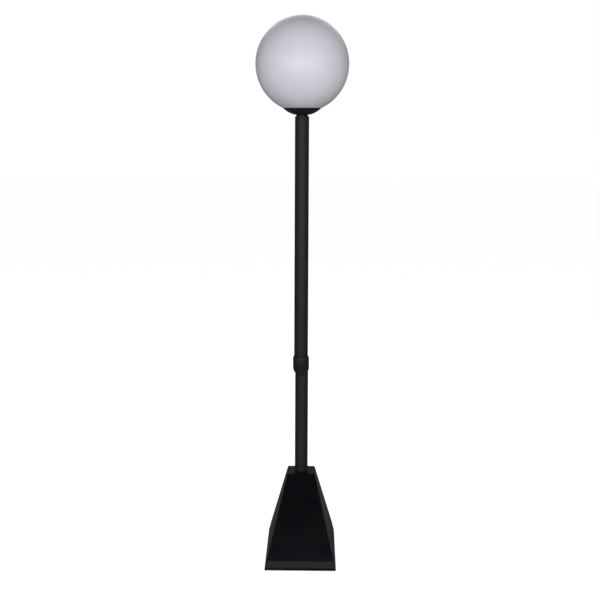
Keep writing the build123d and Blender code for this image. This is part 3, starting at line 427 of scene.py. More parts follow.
def pole_paint():
    """Satin black powder coat: orange-peel relief and a slow change of gloss."""
    s = Shader("pole_paint", (0.010, 0.0098, 0.0102), 0.55, Specular_IOR_Level=0.26)
    s.colours(s.noise(0.09, 3), (0.0085, 0.0080, 0.0086), (0.0108, 0.0102, 0.0109))
    s.roughness(s.noise(0.035, 4), 0.52, 0.58)
    s.bump(s.noise(0.0016, 2), 0.00003)
    s.bump(s.noise(0.0004, 2), 0.000009)
    return s.material


def base_paint():
    """Matt black powder coat with a fine sandy texture."""
    s = Shader("base_paint", (0.0038, 0.0038, 0.0046), 0.34, Specular_IOR_Level=0.1)
    s.colours(s.noise(0.12, 4), (0.0016, 0.0018, 0.0032), (0.0024, 0.0026, 0.0042))
    s.roughness(s.noise(0.05, 5), 0.31, 0.37)
    s.bump(s.noise(0.0011, 3), 0.00007)
    s.bump(s.noise(0.00035, 2), 0.00003)
    return s.material


def opal_glass():
    """Opal glass etched to a satin face: soft, slightly cool white."""
    s = Shader(
        "opal_glass",
        (0.80, 0.80, 0.83),
        0.42,
        Specular_IOR_Level=0.45,
        Subsurface_Weight=0.25,
        Subsurface_Scale=0.004,
    )
    s.bsdf.inputs["Subsurface Radius"].default_value = (1.0, 1.0, 1.0)
    s.colours(s.noise(0.08, 3), (0.762, 0.762, 0.835), (0.782, 0.782, 0.85))
    s.roughness(s.noise(0.02, 4), 0.40, 0.46)
    s.bump(s.noise(0.05, 1), 0.00012)
    s.bump(s.noise(0.0005, 2), 0.000008)
    return s.material


def felt():
    """Dense black felt: matted fibres."""
    s = Shader("felt", (0.012, 0.012, 0.013), 0.95, Specular_IOR_Level=0.15, Sheen_Weight=0.35)
    s.colours(s.noise(0.0015, 6, 0.7), (0.007, 0.007, 0.008), (0.022, 0.022, 0.024))
    s.bump(s.noise(0.0009, 8, 0.75), 0.0005)
    return s.material


def zinc_steel():
    """Zinc-plated steel: pale spangle and fine drawing marks."""
    s = Shader("zinc_steel", (0.55, 0.56, 0.57), 0.34, metallic=1.0)
    s.colours(s.noise(0.006, 5, 0.6), (0.46, 0.47, 0.49), (0.60, 0.60, 0.60))
    s.roughness(s.noise(0.004, 5), 0.28, 0.42)
    s.bump(s.noise(0.0006, 2, vector=s.stretched((1, 1, 12))), 0.00001)
    return s.material


def raw_iron():
    """Primed cast iron with a sand-cast skin."""
    s = Shader("raw_iron", (0.05, 0.048, 0.046), 0.72, metallic=0.35)
    s.colours(s.noise(0.02, 6, 0.65), (0.032, 0.031, 0.030), (0.075, 0.07, 0.066))
    s.roughness(s.noise(0.01, 4), 0.62, 0.82)
    s.bump(s.noise(0.0024, 6, 0.65), 0.0004)
    return s.material


def black_screws():
    """Black oxide steel, worn a little brighter in patches."""
    s = Shader("black_screws", (0.03, 0.03, 0.032), 0.38, metallic=0.9)
    s.colours(s.noise(0.002, 5), (0.018, 0.018, 0.02), (0.06, 0.06, 0.062))
    s.roughness(s.noise(0.0015, 3), 0.32, 0.48)
    s.bump(s.noise(0.0003, 2), 0.00001)
    return s.material


def spring_steel():
    """Bright rolled spring strip."""
    s = Shader("spring_steel", (0.5, 0.51, 0.53), 0.2, metallic=1.0)
    s.roughness(s.noise(0.0007, 3, vector=s.stretched((1, 1, 14))), 0.14, 0.28)
    s.bump(s.noise(0.0004, 2, vector=s.stretched((1, 1, 20))), 0.000006)
    return s.material


def brass():
    """Turned brass, a little dulled."""
    s = Shader("brass", (0.72, 0.52, 0.24), 0.28, metallic=1.0)
    s.colours(s.noise(0.008, 4), (0.62, 0.43, 0.19), (0.78, 0.58, 0.29))
    s.roughness(s.noise(0.003, 4), 0.22, 0.38)
    s.bump(s.noise(0.0004, 2, vector=s.stretched((1, 1, 10))), 0.000008)
    return s.material


def black_plastic():
    """Black thermoset moulding with a faint flow grain."""
    s = Shader("black_plastic", (0.012, 0.012, 0.012), 0.36, Specular_IOR_Level=0.5)
    s.colours(s.noise(0.012, 5), (0.009, 0.009, 0.009), (0.017, 0.016, 0.016))
    s.roughness(s.noise(0.005, 3), 0.30, 0.42)
    s.bump(s.noise(0.0008, 3), 0.00002)
    return s.material


def pale_plastic():
    """Natural nylon moulding."""
    s = Shader("pale_plastic", (0.78, 0.76, 0.7), 0.4, Subsurface_Weight=0.2, Subsurface_Scale=0.002)
    s.colours(s.noise(0.01, 3), (0.74, 0.72, 0.65), (0.82, 0.80, 0.75))
    s.bump(s.noise(0.001, 2), 0.00002)
    return s.material


def fibre():
    """Red-brown vulcanised fibre sheet."""
    s = Shader("fibre", (0.2, 0.07, 0.045), 0.6)
    s.colours(s.noise(0.003, 6, 0.65), (0.15, 0.05, 0.032), (0.26, 0.095, 0.06))
    s.bump(s.noise(0.0006, 4, vector=s.stretched((1, 4, 1))), 0.00003)
    return s.material


def black_rubber():
    """Moulded black rubber with a dull bloom."""
    s = Shader("black_rubber", (0.012, 0.012, 0.012), 0.62, Specular_IOR_Level=0.4)
    s.colours(s.noise(0.006, 5), (0.009, 0.009, 0.009), (0.02, 0.02, 0.02))
    s.roughness(s.noise(0.004, 4), 0.55, 0.7)
    s.bump(s.noise(0.0007, 3), 0.00003)
    return s.material


def clear_rubber():
    """Milky silicone."""
    s = Shader(
        "clear_rubber",
        (0.72, 0.72, 0.7),
        0.35,
        Subsurface_Weight=0.5,
        Subsurface_Scale=0.003,
    )
    s.roughness(s.noise(0.003, 3), 0.3, 0.42)
    s.bump(s.noise(0.001, 2), 0.00002)
    return s.material


def lead_jacket():
    """Soft matt jacket of the inner flex."""
    s = Shader("lead_jacket", (0.02, 0.02, 0.021), 0.5, Specular_IOR_Level=0.4)
    s.roughness(s.noise(0.003, 3), 0.44, 0.58)
    s.bump(s.noise(0.0008, 3), 0.00002)
    return s.material


def bulb_opal():
    """Opal envelope of an unlit bulb."""
    s = Shader(
        "bulb_opal",
        (0.86, 0.86, 0.84),
        0.3,
        Subsurface_Weight=0.3,
        Subsurface_Scale=0.003,
        Coat_Weight=0.3,
        Coat_Roughness=0.12,
    )
    s.roughness(s.noise(0.02, 3), 0.26, 0.34)
    s.bump(s.noise(0.03, 1), 0.00003)
    return s.material


def bulb_plastic():
    """White heat-conducting collar of the bulb."""
    s = Shader("bulb_plastic", (0.83, 0.83, 0.82), 0.45)
    s.colours(s.noise(0.01, 4), (0.80, 0.80, 0.79), (0.85, 0.85, 0.84))
    s.bump(s.noise(0.0007, 3), 0.00002)
    return s.material


def nickel():
    """Nickel-plated brass, soft shine."""
    s = Shader("nickel", (0.66, 0.63, 0.58), 0.22, metallic=1.0)
    s.colours(s.noise(0.005, 4), (0.58, 0.55, 0.50), (0.70, 0.68, 0.63))
    s.roughness(s.noise(0.002, 4), 0.16, 0.32)
    return s.material


def solder():
    """Dull tin of the centre contact."""
    s = Shader("solder", (0.5, 0.5, 0.51), 0.38, metallic=1.0)
    s.roughness(s.noise(0.001, 4), 0.3, 0.5)
    s.bump(s.noise(0.0012, 3), 0.00005)
    return s.material


MATERIALS = {
    make.__name__: make()
    for make in (
        pole_paint,
        base_paint,
        opal_glass,
        felt,
        zinc_steel,
        raw_iron,
        black_screws,
        spring_steel,
        brass,
        black_plastic,
        pale_plastic,
        fibre,
        black_rubber,
        clear_rubber,
        lead_jacket,
        bulb_opal,
        bulb_plastic,
        nickel,
        solder,
    )
}

# every CAD node takes the procedural material of its own slot
node_slots = {part["node"]: part["material_slot"] for part in frame["record"]["subparts"]}
node_bodies = {
    node: body for body, nodes in frame["record"]["behaviour"]["bodies"].items() for node in nodes
}
for node, slot_name in node_slots.items():
    cad_piece = frame["nodes"][node]
    cad_piece.data.materials.clear()
    cad_piece.data.materials.append(MATERIALS[slot_name])


def stand_for(piece, node):
    """The piece takes a CAD node's place: its body, its slot and its material."""
    piece.data.materials.append(MATERIALS[node_slots[node]])
    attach(piece, node_bodies[node])
    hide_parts(node)
    return piece


# ---------------------------------------------------------------- globe and cup

GLOBE_SQUASH = 127.1 / 125  # the globe's height over its width
GLOBE_STEPS = 120
LIP_STEPS = 12

globe_low, globe_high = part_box("globe")
globe_radius = globe_high.x
neck_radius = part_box("gasket")[1].x
globe_centre = globe_high.z - globe_radius * GLOBE_SQUASH


def ellipse(radius, start, end, steps):
    """Points (r, z) on the globe's outline at a radius, from start to end degrees."""
    half_height = radius + globe_radius * (GLOBE_SQUASH - 1)
    outline = arc((0, 0), 1, start, end, steps)
    return [(radius * x, globe_centre + half_height * y) for x, y in outline]


def build_globe():
    """Blown ball with a short neck, its lip fire-polished round."""
    inner = globe_radius - GLASS
    bore = neck_radius - GLASS
    lip = GLASS / 2
    outer_angle = math.degrees(math.acos(neck_radius / globe_radius))
    inner_angle = math.degrees(math.acos(bore / inner))
    outline = ellipse(globe_radius, 90, -outer_angle, GLOBE_STEPS)
    outline += arc((neck_radius - lip, globe_low.z + lip), lip, 0, -180, LIP_STEPS)
    outline += ellipse(inner, -inner_angle, 90, GLOBE_STEPS)
    outline[0] = (0, outline[0][1])
    outline[-1] = (0, outline[-1][1])
    return lathe("opal_globe", outline, closed=False, around=ROUND_LARGE)


stand_for(build_globe(), "globe")

# The cup's flank is an arc about a centre on its half section
FLANK_RADIUS = 55.9 * MM
FLANK_CENTRE_RADIUS = 8.8 * MM
FLANK_CENTRE_HEIGHT = 54.45 * MM  # above the cup's floor
FLANK_STEPS = 40
BEVEL_INNER_RADIUS = 45.9 * MM
BEVEL_SLOPE = 0.42  # the bevel climbs outwards as the glass does there
CUP_LIP = 0.5 * MM
CUP_FOOT_EDGE = 1.2 * MM
TURN_END = 4  # the foot's rounding takes up this many steps of the flank

cup_low, cup_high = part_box("cup")
nipple_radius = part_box("nipple")[1].x
flank_centre = cup_low.z + FLANK_CENTRE_HEIGHT


def flank_point(z, wall=0):
    """Point of the cup's flank at a height, on its outside or a wall's thickness inside."""
    rise = math.sqrt((FLANK_RADIUS - wall) ** 2 - (flank_centre - z) ** 2)
    return FLANK_CENTRE_RADIUS + rise, z


def build_cup():
    """Spun cup: a flat floor, a bulging flank and a thin lip whose bevel follows the glass."""
    rim, low, high = cup_high.x, cup_low.z, cup_high.z
    floor, middle_z = low + CUP_WALL, (low + high) / 2
    hole = nipple_radius + FIT_GAP
    rim_foot = (rim, high - CUP_LIP)
    bevel_foot = (BEVEL_INNER_RADIUS, high - (rim - BEVEL_INNER_RADIUS) * BEVEL_SLOPE)
    inner_foot = flank_point(floor, CUP_WALL)
    flank = arc_through(flank_point(low), flank_point(middle_z), rim_foot, FLANK_STEPS)
    inside = arc_through(bevel_foot, flank_point(middle_z, CUP_WALL), inner_foot, FLANK_STEPS)
    edge = rounded([rim_foot, (rim, high), bevel_foot], (0, EDGE_BREAK, 0), closed=False)
    turn_points = [(hole, low), flank[0], flank[TURN_END]]
    turn = rounded(turn_points, (0, CUP_FOOT_EDGE, 0), closed=False)
    outline = [(hole, floor), *turn, *flank[TURN_END + 1 : -1], *edge, *inside[1:]]
    return lathe("spun_cup", outline, around=ROUND_LARGE)


stand_for(build_cup(), "cup")

NECK_EDGE = 0.4 * MM

neck_low, neck_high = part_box("neck_spacer")
neck_outline = (nipple_radius, neck_high.x, neck_low.z, neck_high.z)
stand_for(ring_solid("turned_neck", *neck_outline, NECK_EDGE), "neck_spacer")

# ---------------------------------------------------------------- tubes and knuckle

TUBE_EDGE = 0.6 * MM

tube_low, tube_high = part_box("upper_tube")
tube_outline = (TUBE_BORE, TUBE_RADIUS, tube_low.z, tube_high.z)
stand_for(ring_solid("upper_pole_tube", *tube_outline, TUBE_EDGE), "upper_tube")

KNUCKLE_BEND = 28 * MM
KNUCKLE_BORE = 13 * MM
KNUCKLE_TOP_EDGE = 2.8 * MM
KNUCKLE_SHOULDER = 9 * MM  # the top edge's rounding runs this far down
KNUCKLE_FACE_EDGE = 0.8 * MM
FACE_GAP = 0.2 * MM
SPIGOT_RADIUS = 13 * MM
SPIGOT_BORE = 8 * MM
SPIGOT_EDGE = 0.5 * MM

knuckle_radius = (span("knuckle", 0)[1] - span("knuckle", 0)[0]) / 2
knuckle_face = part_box("face_washer")[0].y - FACE_GAP


def build_knuckle():
    """Cast elbow with softened rims, and its two hollow spigots.

    The arm's spigot is drawn plain, without the stop groove for the dog-point screw.
    """
    start, corner, end = (knuckle_face, ARM_Z), (POLE_Y, ARM_Z), (POLE_Y, tube_low.z)
    route = bent_route(corner, start, end, KNUCKLE_BEND)
    edges = (KNUCKLE_FACE_EDGE, KNUCKLE_TOP_EDGE, KNUCKLE_SHOULDER)
    elbow = hollow_bend("elbow", route, knuckle_radius, KNUCKLE_BORE, *edges)
    knuckle_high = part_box("knuckle")[1]
    root = 1 * MM  # each spigot starts this far inside the elbow
    spigot_heights = (tube_low.z - root, knuckle_high.z)
    up = ring_solid("up", KNUCKLE_BORE, TUBE_BORE - FIT_GAP, *spigot_heights, SPIGOT_EDGE)
    length = knuckle_high.y - knuckle_face + root
    place = facing_back(0, knuckle_face - root, ARM_Z)
    back = ring_solid("back", SPIGOT_BORE, SPIGOT_RADIUS, 0, length, SPIGOT_EDGE, place)
    return joined("cast_knuckle", [elbow, up, back])


stand_for(build_knuckle(), "knuckle")


LOWER_BEND = 38 * MM
LOWER_BEND_STEPS = 64
LOWER_TUBE_EDGES = (0.4 * MM, 0.6 * MM)  # at the foot and at the arm's end
SCREW_HOLE = 4.02 * MM


def build_lower_tube():
    """Bent tube with two screw holes under its arm."""
    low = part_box("lower_tube")[0]
    route = bent_route((0, ARM_Z), (0, low.z), (low.y, ARM_Z), LOWER_BEND, LOWER_BEND_STEPS)
    tube = hollow_bend("lower_pole_tube", route, TUBE_RADIUS, TUBE_BORE, *LOWER_TUBE_EDGES)
    carvers = []
    overcut = 1 * MM
    for node in ("retaining_screw", "friction_screw"):
        place = upright(0, middle(node, 1), ARM_Z - TUBE_RADIUS - overcut)
        carvers.append(rod(SCREW_HOLE, place, 2 * TUBE_WALL + overcut))
    return carve(tube, *carvers)


stand_for(even_normals(build_lower_tube()), "lower_tube")

washer_low, washer_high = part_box("face_washer")
washer_place = facing_front(0, washer_high.y, ARM_Z)
WASHER_BORE = 13.4 * MM
WASHER_EDGE = 0.2 * MM
washer_thickness = washer_high.y - washer_low.y
washer = (WASHER_BORE, washer_high.x, 0, washer_thickness, WASHER_EDGE, washer_place)
stand_for(ring_solid("thrust_washer", *washer), "face_washer")


def build_bush():
    """Plain bearing: a sleeve inside the arm and a flange against its end."""
    low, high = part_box("swivel_bush")
    bore, sleeve = SPIGOT_RADIUS + FIT_GAP, TUBE_BORE - FIT_GAP
    length, flange = high.y - low.y, 2 * MM
    corners = [(bore, 0), (TUBE_RADIUS, 0), (TUBE_RADIUS, flange), (sleeve, flange)]
    corners += [(sleeve, length), (bore, length)]
    inner_edge, outer_edge = 0.4 * MM, 0.5 * MM
    radii = (inner_edge, outer_edge, outer_edge, 0, outer_edge, inner_edge)
    outline = rounded(corners, radii)
    return lathe("swivel_bearing", outline, place=facing_back(0, low.y, ARM_Z))


stand_for(build_bush(), "swivel_bush")

# ---------------------------------------------------------------- base

KICK_HEIGHT = 28 * MM
TOP_HALF = 40 * MM
COVER_EDGE = 2.5 * MM
COVER_EDGE_STEPS = 6
SOFT_FOLD = 0.5  # share of the edge radius on the folds that run across the front and back
TUBE_HOLE_GAP = 0.3 * MM
INLET_HOLE = 7 * MM


def build_base_cover():
    """Folded pyramid shell with rounded edges, a tube hole in its top and an inlet hole behind."""
    low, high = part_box("base_cover")
    slope = (high.x - TOP_HALF) / (high.z - low.z)
    kick_x = high.x - slope * (KICK_HEIGHT - low.z)
    bm = bmesh.new()
    levels = []
    for half_x, half_y, z in (
        (high.x, high.y, low.z),
        (kick_x, high.y, KICK_HEIGHT),
        (TOP_HALF, TOP_HALF, high.z),
    ):
        corners = ((-1, -1), (1, -1), (1, 1), (-1, 1))
        levels.append([bm.verts.new((sx * half_x, sy * half_y, z)) for sx, sy in corners])
    foot, kick, top = levels
    bm.faces.new(top)
    for i, j in ((0, 1), (2, 3)):
        bm.faces.new((foot[i], foot[j], kick[j], kick[i]))
        bm.faces.new((kick[i], kick[j], top[j], top[i]))
    for i, j in ((1, 2), (3, 0)):
        bm.faces.new((foot[i], foot[j], kick[j], top[j], top[i], kick[i]))
    weights = bm.edges.layers.float.new("bevel_weight_edge")
    for edge in bm.edges:
        first, last = (vert.co for vert in edge.verts)
        if first.z + last.z > 3 * low.z:  # every edge but the open foot's
            along_x = abs(first.y - last.y) < 1e-6 and abs(first.z - last.z) < 1e-6
            edge[weights] = SOFT_FOLD if along_x else 1.0
    cover = finish_mesh("pyramid_cover", bm)
    wall = cover.modifiers.new("wall", "SOLIDIFY")
    wall.thickness = COVER_WALL
    wall.offset = -1
    wall.use_even_offset = True
    wall.use_quality_normals = True
    edges = cover.modifiers.new("edges", "BEVEL")
    edges.limit_method = "WEIGHT"
    edges.width = COVER_EDGE
    edges.segments = COVER_EDGE_STEPS
    bake(cover)
    start, depth = 3 * COVER_WALL, 20 * MM
    tube_hole = rod(TUBE_RADIUS + TUBE_HOLE_GAP, upright(0, 0, high.z - start), depth)
    inlet_place = facing_back(0, high.y - start, middle("inlet_grommet", 2))
    return carve(cover, tube_hole, rod(INLET_HOLE, inlet_place, depth))


stand_for(even_normals(build_base_cover()), "base_cover")


PAD_CORNER = 6 * MM
PAD_CORNER_STEPS = 12
# height and inset, in millimetres, of each ring round the pad's side
PAD_RINGS = ((0.0, 0.6), (0.25, 0.18), (0.6, 0.0), (2.8, 0.0), (3.0, 0.12))


def build_pad():
    """Felt pad with rounded corners and a soft lower edge."""
    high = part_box("floor_pad")[1]
    corners = [(-high.x, -high.y), (high.x, -high.y), (high.x, high.y), (-high.x, high.y)]
    outline = rounded(corners, [PAD_CORNER] * 4, PAD_CORNER_STEPS)
    bm = bmesh.new()
    rings = []
    for z, inset in PAD_RINGS:
        scale_x, scale_y = 1 - inset * MM / high.x, 1 - inset * MM / high.y
        rings.append([bm.verts.new((x * scale_x, y * scale_y, z * MM)) for x, y in outline])
    for lower, upper in zip(rings, rings[1:]):
        for i in range(len(lower)):
            j = (i + 1) % len(lower)
            bm.faces.new((lower[i], lower[j], upper[j], upper[i]))
    bm.faces.new(rings[0])
    bm.faces.new(rings[-1])
    return finish_mesh("felt_pad", bm)


stand_for(even_normals(build_pad()), "floor_pad")


def build_grommet():
    """Moulded rubber grommet, rounded where the lead enters."""
    low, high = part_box("inlet_grommet")
    flange = 2 * MM
    bore, waist, outer, inner = 3.75 * MM, 6.95 * MM, high.x, 9 * MM
    wall = high.y - low.y - 2 * flange
    corners = [(bore, 0), (inner, 0), (inner, flange), (waist, flange), (waist, flange + wall)]
    corners += [(outer, flange + wall), (outer, high.y - low.y), (bore, high.y - low.y)]
    radii = [0.8 * MM, 0.6 * MM, 0.4 * MM, 0, 0, 0.4 * MM, 1.3 * MM, 0.9 * MM]
    place = facing_back(0, low.y, middle("inlet_grommet", 2))
    return lathe("rubber_grommet", rounded(corners, radii), place=place)


stand_for(build_grommet(), "inlet_grommet")

# ---------------------------------------------------------------- screws


BUTTON_RADIUS = 3.8 * MM
BUTTON_HEIGHT = 1.9 * MM


def button_head(name, y, z):
    """Button-head screw with a hexagon socket, seated on the back of the upper tube."""
    head, height = BUTTON_RADIUS, BUTTON_HEIGHT
    key, depth, shank, length, chamfer = 1.4 * MM, 1.2 * MM, 2 * MM, 4 * MM, 0.1 * MM
    hexagon, rim = polygon_ring(key, 6), polygon_ring(key + 1.2 * chamfer, 6)
    dome = arc_through((key + 0.5 * MM, height), (3.1 * MM, 1.4 * MM), (head, EDGE_BREAK), 14)
    outline = [(0, height - depth - EDGE_BREAK), (hexagon, height - depth)]
    outline += [(hexagon, height - chamfer), (rim, height), *dome, (head, chamfer / 2)]
    outline += [(head - chamfer, 0), (shank, 0), (shank, -length), (0, -length)]
    return lathe(name, outline, False, ROUND_SMALL, facing_back(0, y, z))


head_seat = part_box("plug_screw")[1].y - BUTTON_HEIGHT
tube_screw_low, tube_screw_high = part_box("tube_screws")
screw_heights = (tube_screw_low.z + BUTTON_RADIUS, tube_screw_high.z - BUTTON_RADIUS)
tube_screws = [button_head("screw", head_seat, z) for z in screw_heights]
stand_for(joined("tube_button_screws", tube_screws), "tube_screws")
plug_screw = button_head("plug_button_screw", head_seat, middle("plug_screw", 2))
stand_for(plug_screw, "plug_screw")


def set_screw(name, node):
    """Socket set screw in the arm's underside, its face down."""
    low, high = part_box(node)
    radius, length, edge = high.x, high.z - low.z, 0.35 * MM
    key, key_depth = polygon_ring(2.3 * MM, 6), 2 * MM
    outline = [(0, -key_depth - EDGE_BREAK), (key, -key_depth), (key, 0)]
    outline += [(radius - edge, 0), (radius, -edge)]
    if node == "retaining_screw":
        dog, dog_length = 3 * MM, 3.3 * MM
        outline += [(radius, dog_length - length), (dog, dog_length - length)]
        outline += [(dog, -length), (0, -length)]
    else:
        outline += [(radius, -length), (0, -length)]
    return lathe(name, outline, False, ROUND_SMALL, facing_down(0, middle(node, 1), low.z))


stand_for(set_screw("dog_point_screw", "retaining_screw"), "retaining_screw")
stand_for(set_screw("drag_screw", "friction_screw"), "friction_screw")

# ---------------------------------------------------------------- gallery, clips and holder

gallery_low, gallery_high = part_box("gallery_plate")


def build_gallery():
    """Pressed disc on a short sleeve."""
    sleeve, hole = 9 * MM, nipple_radius + FIT_GAP
    plate_foot = gallery_high.z - GALLERY_SHEET
    corners = [(hole, gallery_low.z), (sleeve, gallery_low.z), (sleeve, plate_foot)]
    corners += [(gallery_high.x, plate_foot), (gallery_high.x, gallery_high.z)]
    corners += [(hole, gallery_high.z)]
    radii = [0, EDGE_BREAK, 0.4 * MM, 0.5 * MM, 0.5 * MM, 0]
    return lathe("gallery_disc", rounded(corners, radii))


stand_for(build_gallery(), "gallery_plate")

gasket_low, gasket_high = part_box("gasket")
gasket_ring = [(gasket_high.x - GLASS, gasket_low.z), (gasket_high.x, gasket_low.z)]
gasket_ring += [(gasket_high.x, gasket_high.z), (gasket_high.x - GLASS, gasket_high.z)]
stand_for(lathe("silicone_gasket", rounded(gasket_ring, [0.5 * MM] * 4)), "gasket")

CLIP_ANGLES = (90, 210, 330)
CLIP_INNER = 24.5 * MM
CLIP_OUTER = neck_radius - GLASS - 0.5 * MM
CLIP_SHEET = 0.6 * MM
CLIP_HEIGHT = 9 * MM
CLIP_WIDTH = 9 * MM
RIVET_REACH = 27.5 * MM


def build_clip(angle):
    """One leaf spring: a riveted foot, an upright leaf and a lip bent inwards."""
    half = CLIP_SHEET / 2
    bends = [(CLIP_INNER, half), (CLIP_OUTER - half - 1.2 * MM, half)]
    bends += [(CLIP_OUTER - half, CLIP_HEIGHT * 0.55), (CLIP_OUTER - 4 * MM, CLIP_HEIGHT + 2 * MM)]
    line = rounded(bends, (0, 0.8 * MM, 0.8 * MM, 0), 6, closed=False)
    sides = ([], [])
    for i, point in enumerate(line):
        here = Vector(point)
        before, after = Vector(line[max(i - 1, 0)]), Vector(line[min(i + 1, len(line) - 1)])
        along = (after - before).normalized()
        across = Vector((-along.y, along.x)) * half
        sides[0].append(here + across)
        sides[1].append(here - across)
    outline = sides[0] + sides[1][::-1]
    bm = bmesh.new()
    faces = []
    for x in (-CLIP_WIDTH / 2, CLIP_WIDTH / 2):
        faces.append([bm.verts.new((p.x, x, p.y)) for p in outline])
    count = len(line)
    for i in range(len(outline)):
        j = (i + 1) % len(outline)
        bm.faces.new((faces[0][i], faces[0][j], faces[1][j], faces[1][i]))
    for face in faces:
        for i in range(count - 1):
            bm.faces.new((face[i], face[i + 1], face[-i - 2], face[-i - 1]))
    turn = Matrix.Rotation(math.radians(angle), 4, "Z")
    place = Matrix.Translation((0, POLE_Y, gallery_high.z)) @ turn
    bmesh.ops.transform(bm, matrix=place, verts=bm.verts)
    return finish_mesh("clip", bm)


stand_for(joined("leaf_clips", [build_clip(angle) for angle in CLIP_ANGLES]), "globe_clips")


def build_rivet(angle):
    """Domed rivet head on a clip's foot."""
    low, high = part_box("clip_rivets")
    x = RIVET_REACH * math.cos(math.radians(angle))
    y = POLE_Y + RIVET_REACH * math.sin(math.radians(angle))
    head, height, shank = 2.2 * MM, 0.8 * MM, 1.2 * MM
    dome = arc_through((head, 0.15 * MM), (1.6 * MM, 0.55 * MM), (0, height), 10)
    outline = [(0, low.z - high.z + height), (shank, low.z - high.z + height), (shank, 0)]
    outline += [(head, 0), *dome]
    outline[-1] = (0, height)
    return lathe("rivet", outline, False, 48, upright(x, y, high.z - height))


stand_for(joined("domed_rivets", [build_rivet(angle) for angle in CLIP_ANGLES]), "clip_rivets")

cap_low, cap_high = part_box("holder_cap")
body_low, body_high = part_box("holder_body")
shell_low, shell_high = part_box("screw_shell")
holder_radius = body_high.x


def build_holder_cap():
    """Domed lower half of the lampholder."""
    hole = 5.02 * MM
    floor, wall = cap_low.z + 4 * MM, 4 * MM
    corners = [(hole, cap_low.z), (holder_radius, cap_low.z), (holder_radius, cap_high.z)]
    corners += [(holder_radius - wall, cap_high.z), (holder_radius - wall, floor), (hole, floor)]
    radii = [0, 3 * MM, 0.3 * MM, 0, 0, 0]
    return lathe("holder_foot", rounded(corners, radii))


stand_for(build_holder_cap(), "holder_cap")


def ribbed(depth):
    """Radius of the holder's grip: 24 rounded grooves."""
    return lambda a: holder_radius - depth * max(0, math.cos(24 * a)) ** 3


def build_holder_body():
    """Upper half of the lampholder with a grooved grip and a rounded mouth."""
    low, high = body_low.z, body_high.z
    bore, grip_low, grip_high = 14.85 * MM, low + 3 * MM, low + 17 * MM
    depth, fade = 0.6 * MM, 1.2 * MM
    outline = [(0, low), (holder_radius - 0.3 * MM, low), (holder_radius, low + 0.3 * MM)]
    for z, share in ((grip_low, 0), (grip_low + fade / 2, 0.7), (grip_low + fade, 1)):
        outline.append((ribbed(depth * share), z))
    for z, share in ((grip_high - fade, 1), (grip_high - fade / 2, 0.7), (grip_high, 0)):
        outline.append((ribbed(depth * share), z))
    outline += arc((holder_radius - 1.5 * MM, high - 1.5 * MM), 1.5 * MM, 0, 90, FACETS)
    outline += arc((bore + 0.6 * MM, high - 0.6 * MM), 0.6 * MM, 90, 180, FACETS)
    outline += [(bore, shell_low.z), (0, shell_low.z)]
    return lathe("holder_barrel", outline, False, 288)


stand_for(build_holder_body(), "holder_body")


def build_shell():
    """Rolled brass screw shell with a hole for the centre contact."""
    low, high = shell_low.z, shell_high.z
    outer, sheet, hole = shell_high.x, 0.6 * MM, 7 * MM
    inner = outer - sheet
    outline = [(hole, low), (outer - 0.6 * MM, low), (outer, low + 0.6 * MM)]
    outline += [(outer, high - 0.2 * MM), (outer - 0.3 * MM, high), (inner, high - 0.2 * MM)]
    rings = threaded(inner - 0.35 * MM, 0.35 * MM, 3.63 * MM, low + 4 * MM, high - 1.5 * MM)
    outline += rings[::-1] + [(inner, low + 1.2 * MM), (inner - 0.6 * MM, low + sheet)]
    outline += [(hole, low + sheet)]
    return lathe("rolled_shell", outline)


stand_for(build_shell(), "screw_shell")

# ---------------------------------------------------------------- bulb

collar_low, collar_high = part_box("bulb_collar")
glass_low, glass_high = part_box("bulb_glass")
bulb_cap_low, bulb_cap_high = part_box("bulb_cap")


def build_envelope():
    """Opal dome of the bulb."""
    outer, wall = glass_high.x, 1 * MM
    centre = glass_high.z - outer
    start = math.degrees(math.asin((glass_low.z - centre) / outer))
    inner_start = math.degrees(math.asin((glass_low.z - centre) / (outer - wall)))
    outline = arc((0, centre), outer, start, 90, 64)
    outline += arc((0, centre), outer - wall, 90, inner_start, 64)
    outline[64], outline[65] = (0, outline[64][1]), (0, outline[65][1])
    return lathe("bulb_envelope", outline)


stand_for(build_envelope(), "bulb_glass")


def build_collar():
    """Moulded collar that flares from the cap to the envelope."""
    low, high = collar_low.z, collar_high.z
    foot, step, rim = bulb_cap_high.x, 4.5 * MM, collar_high.x
    step_point = (foot + 1.1 * MM, low + step)
    flare = arc_through(step_point, (19.5 * MM, (step_point[1] + high) / 2), (rim, high), 40)
    outline = [(0, low), (foot - 0.3 * MM, low), (foot, low + 0.3 * MM), *flare[:-1]]
    outline += [(rim - 0.1 * MM, high - 0.25 * MM), (rim - 0.4 * MM, high), (0, high)]
    return lathe("bulb_flare", outline, closed=False)


stand_for(build_collar(), "bulb_collar")


def build_bulb_cap():
    """Screw cap with its rolled thread and a tapered foot."""
    low, high, outer = bulb_cap_low.z, bulb_cap_high.z, bulb_cap_high.x
    root = outer - 0.6 * MM
    outline = [(0, low), (5 * MM, low), (11.5 * MM, low + 4 * MM), (root, low + 5 * MM)]
    outline += threaded(root, 0.6 * MM, 3.5 * MM, low + 5.3 * MM, low + 19.3 * MM)
    outline += [(root, low + 20 * MM), (root, high), (0, high)]
    return lathe("bulb_screw_cap", outline, closed=False)


stand_for(build_bulb_cap(), "bulb_cap")


def build_contact():
    """Soldered button at the bulb's foot."""
    low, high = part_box("bulb_contact")
    outline = arc_through((0, low.z), (3.0 * MM, low.z + 0.5 * MM), (high.x, high.z - 0.4 * MM), 12)
    outline[0] = (0, low.z)
    outline += [(high.x, high.z), (0, high.z)]
    return lathe("solder_button", outline, closed=False, around=96)


stand_for(build_contact(), "bulb_contact")

# ---------------------------------------------------------------- floor, lights and camera

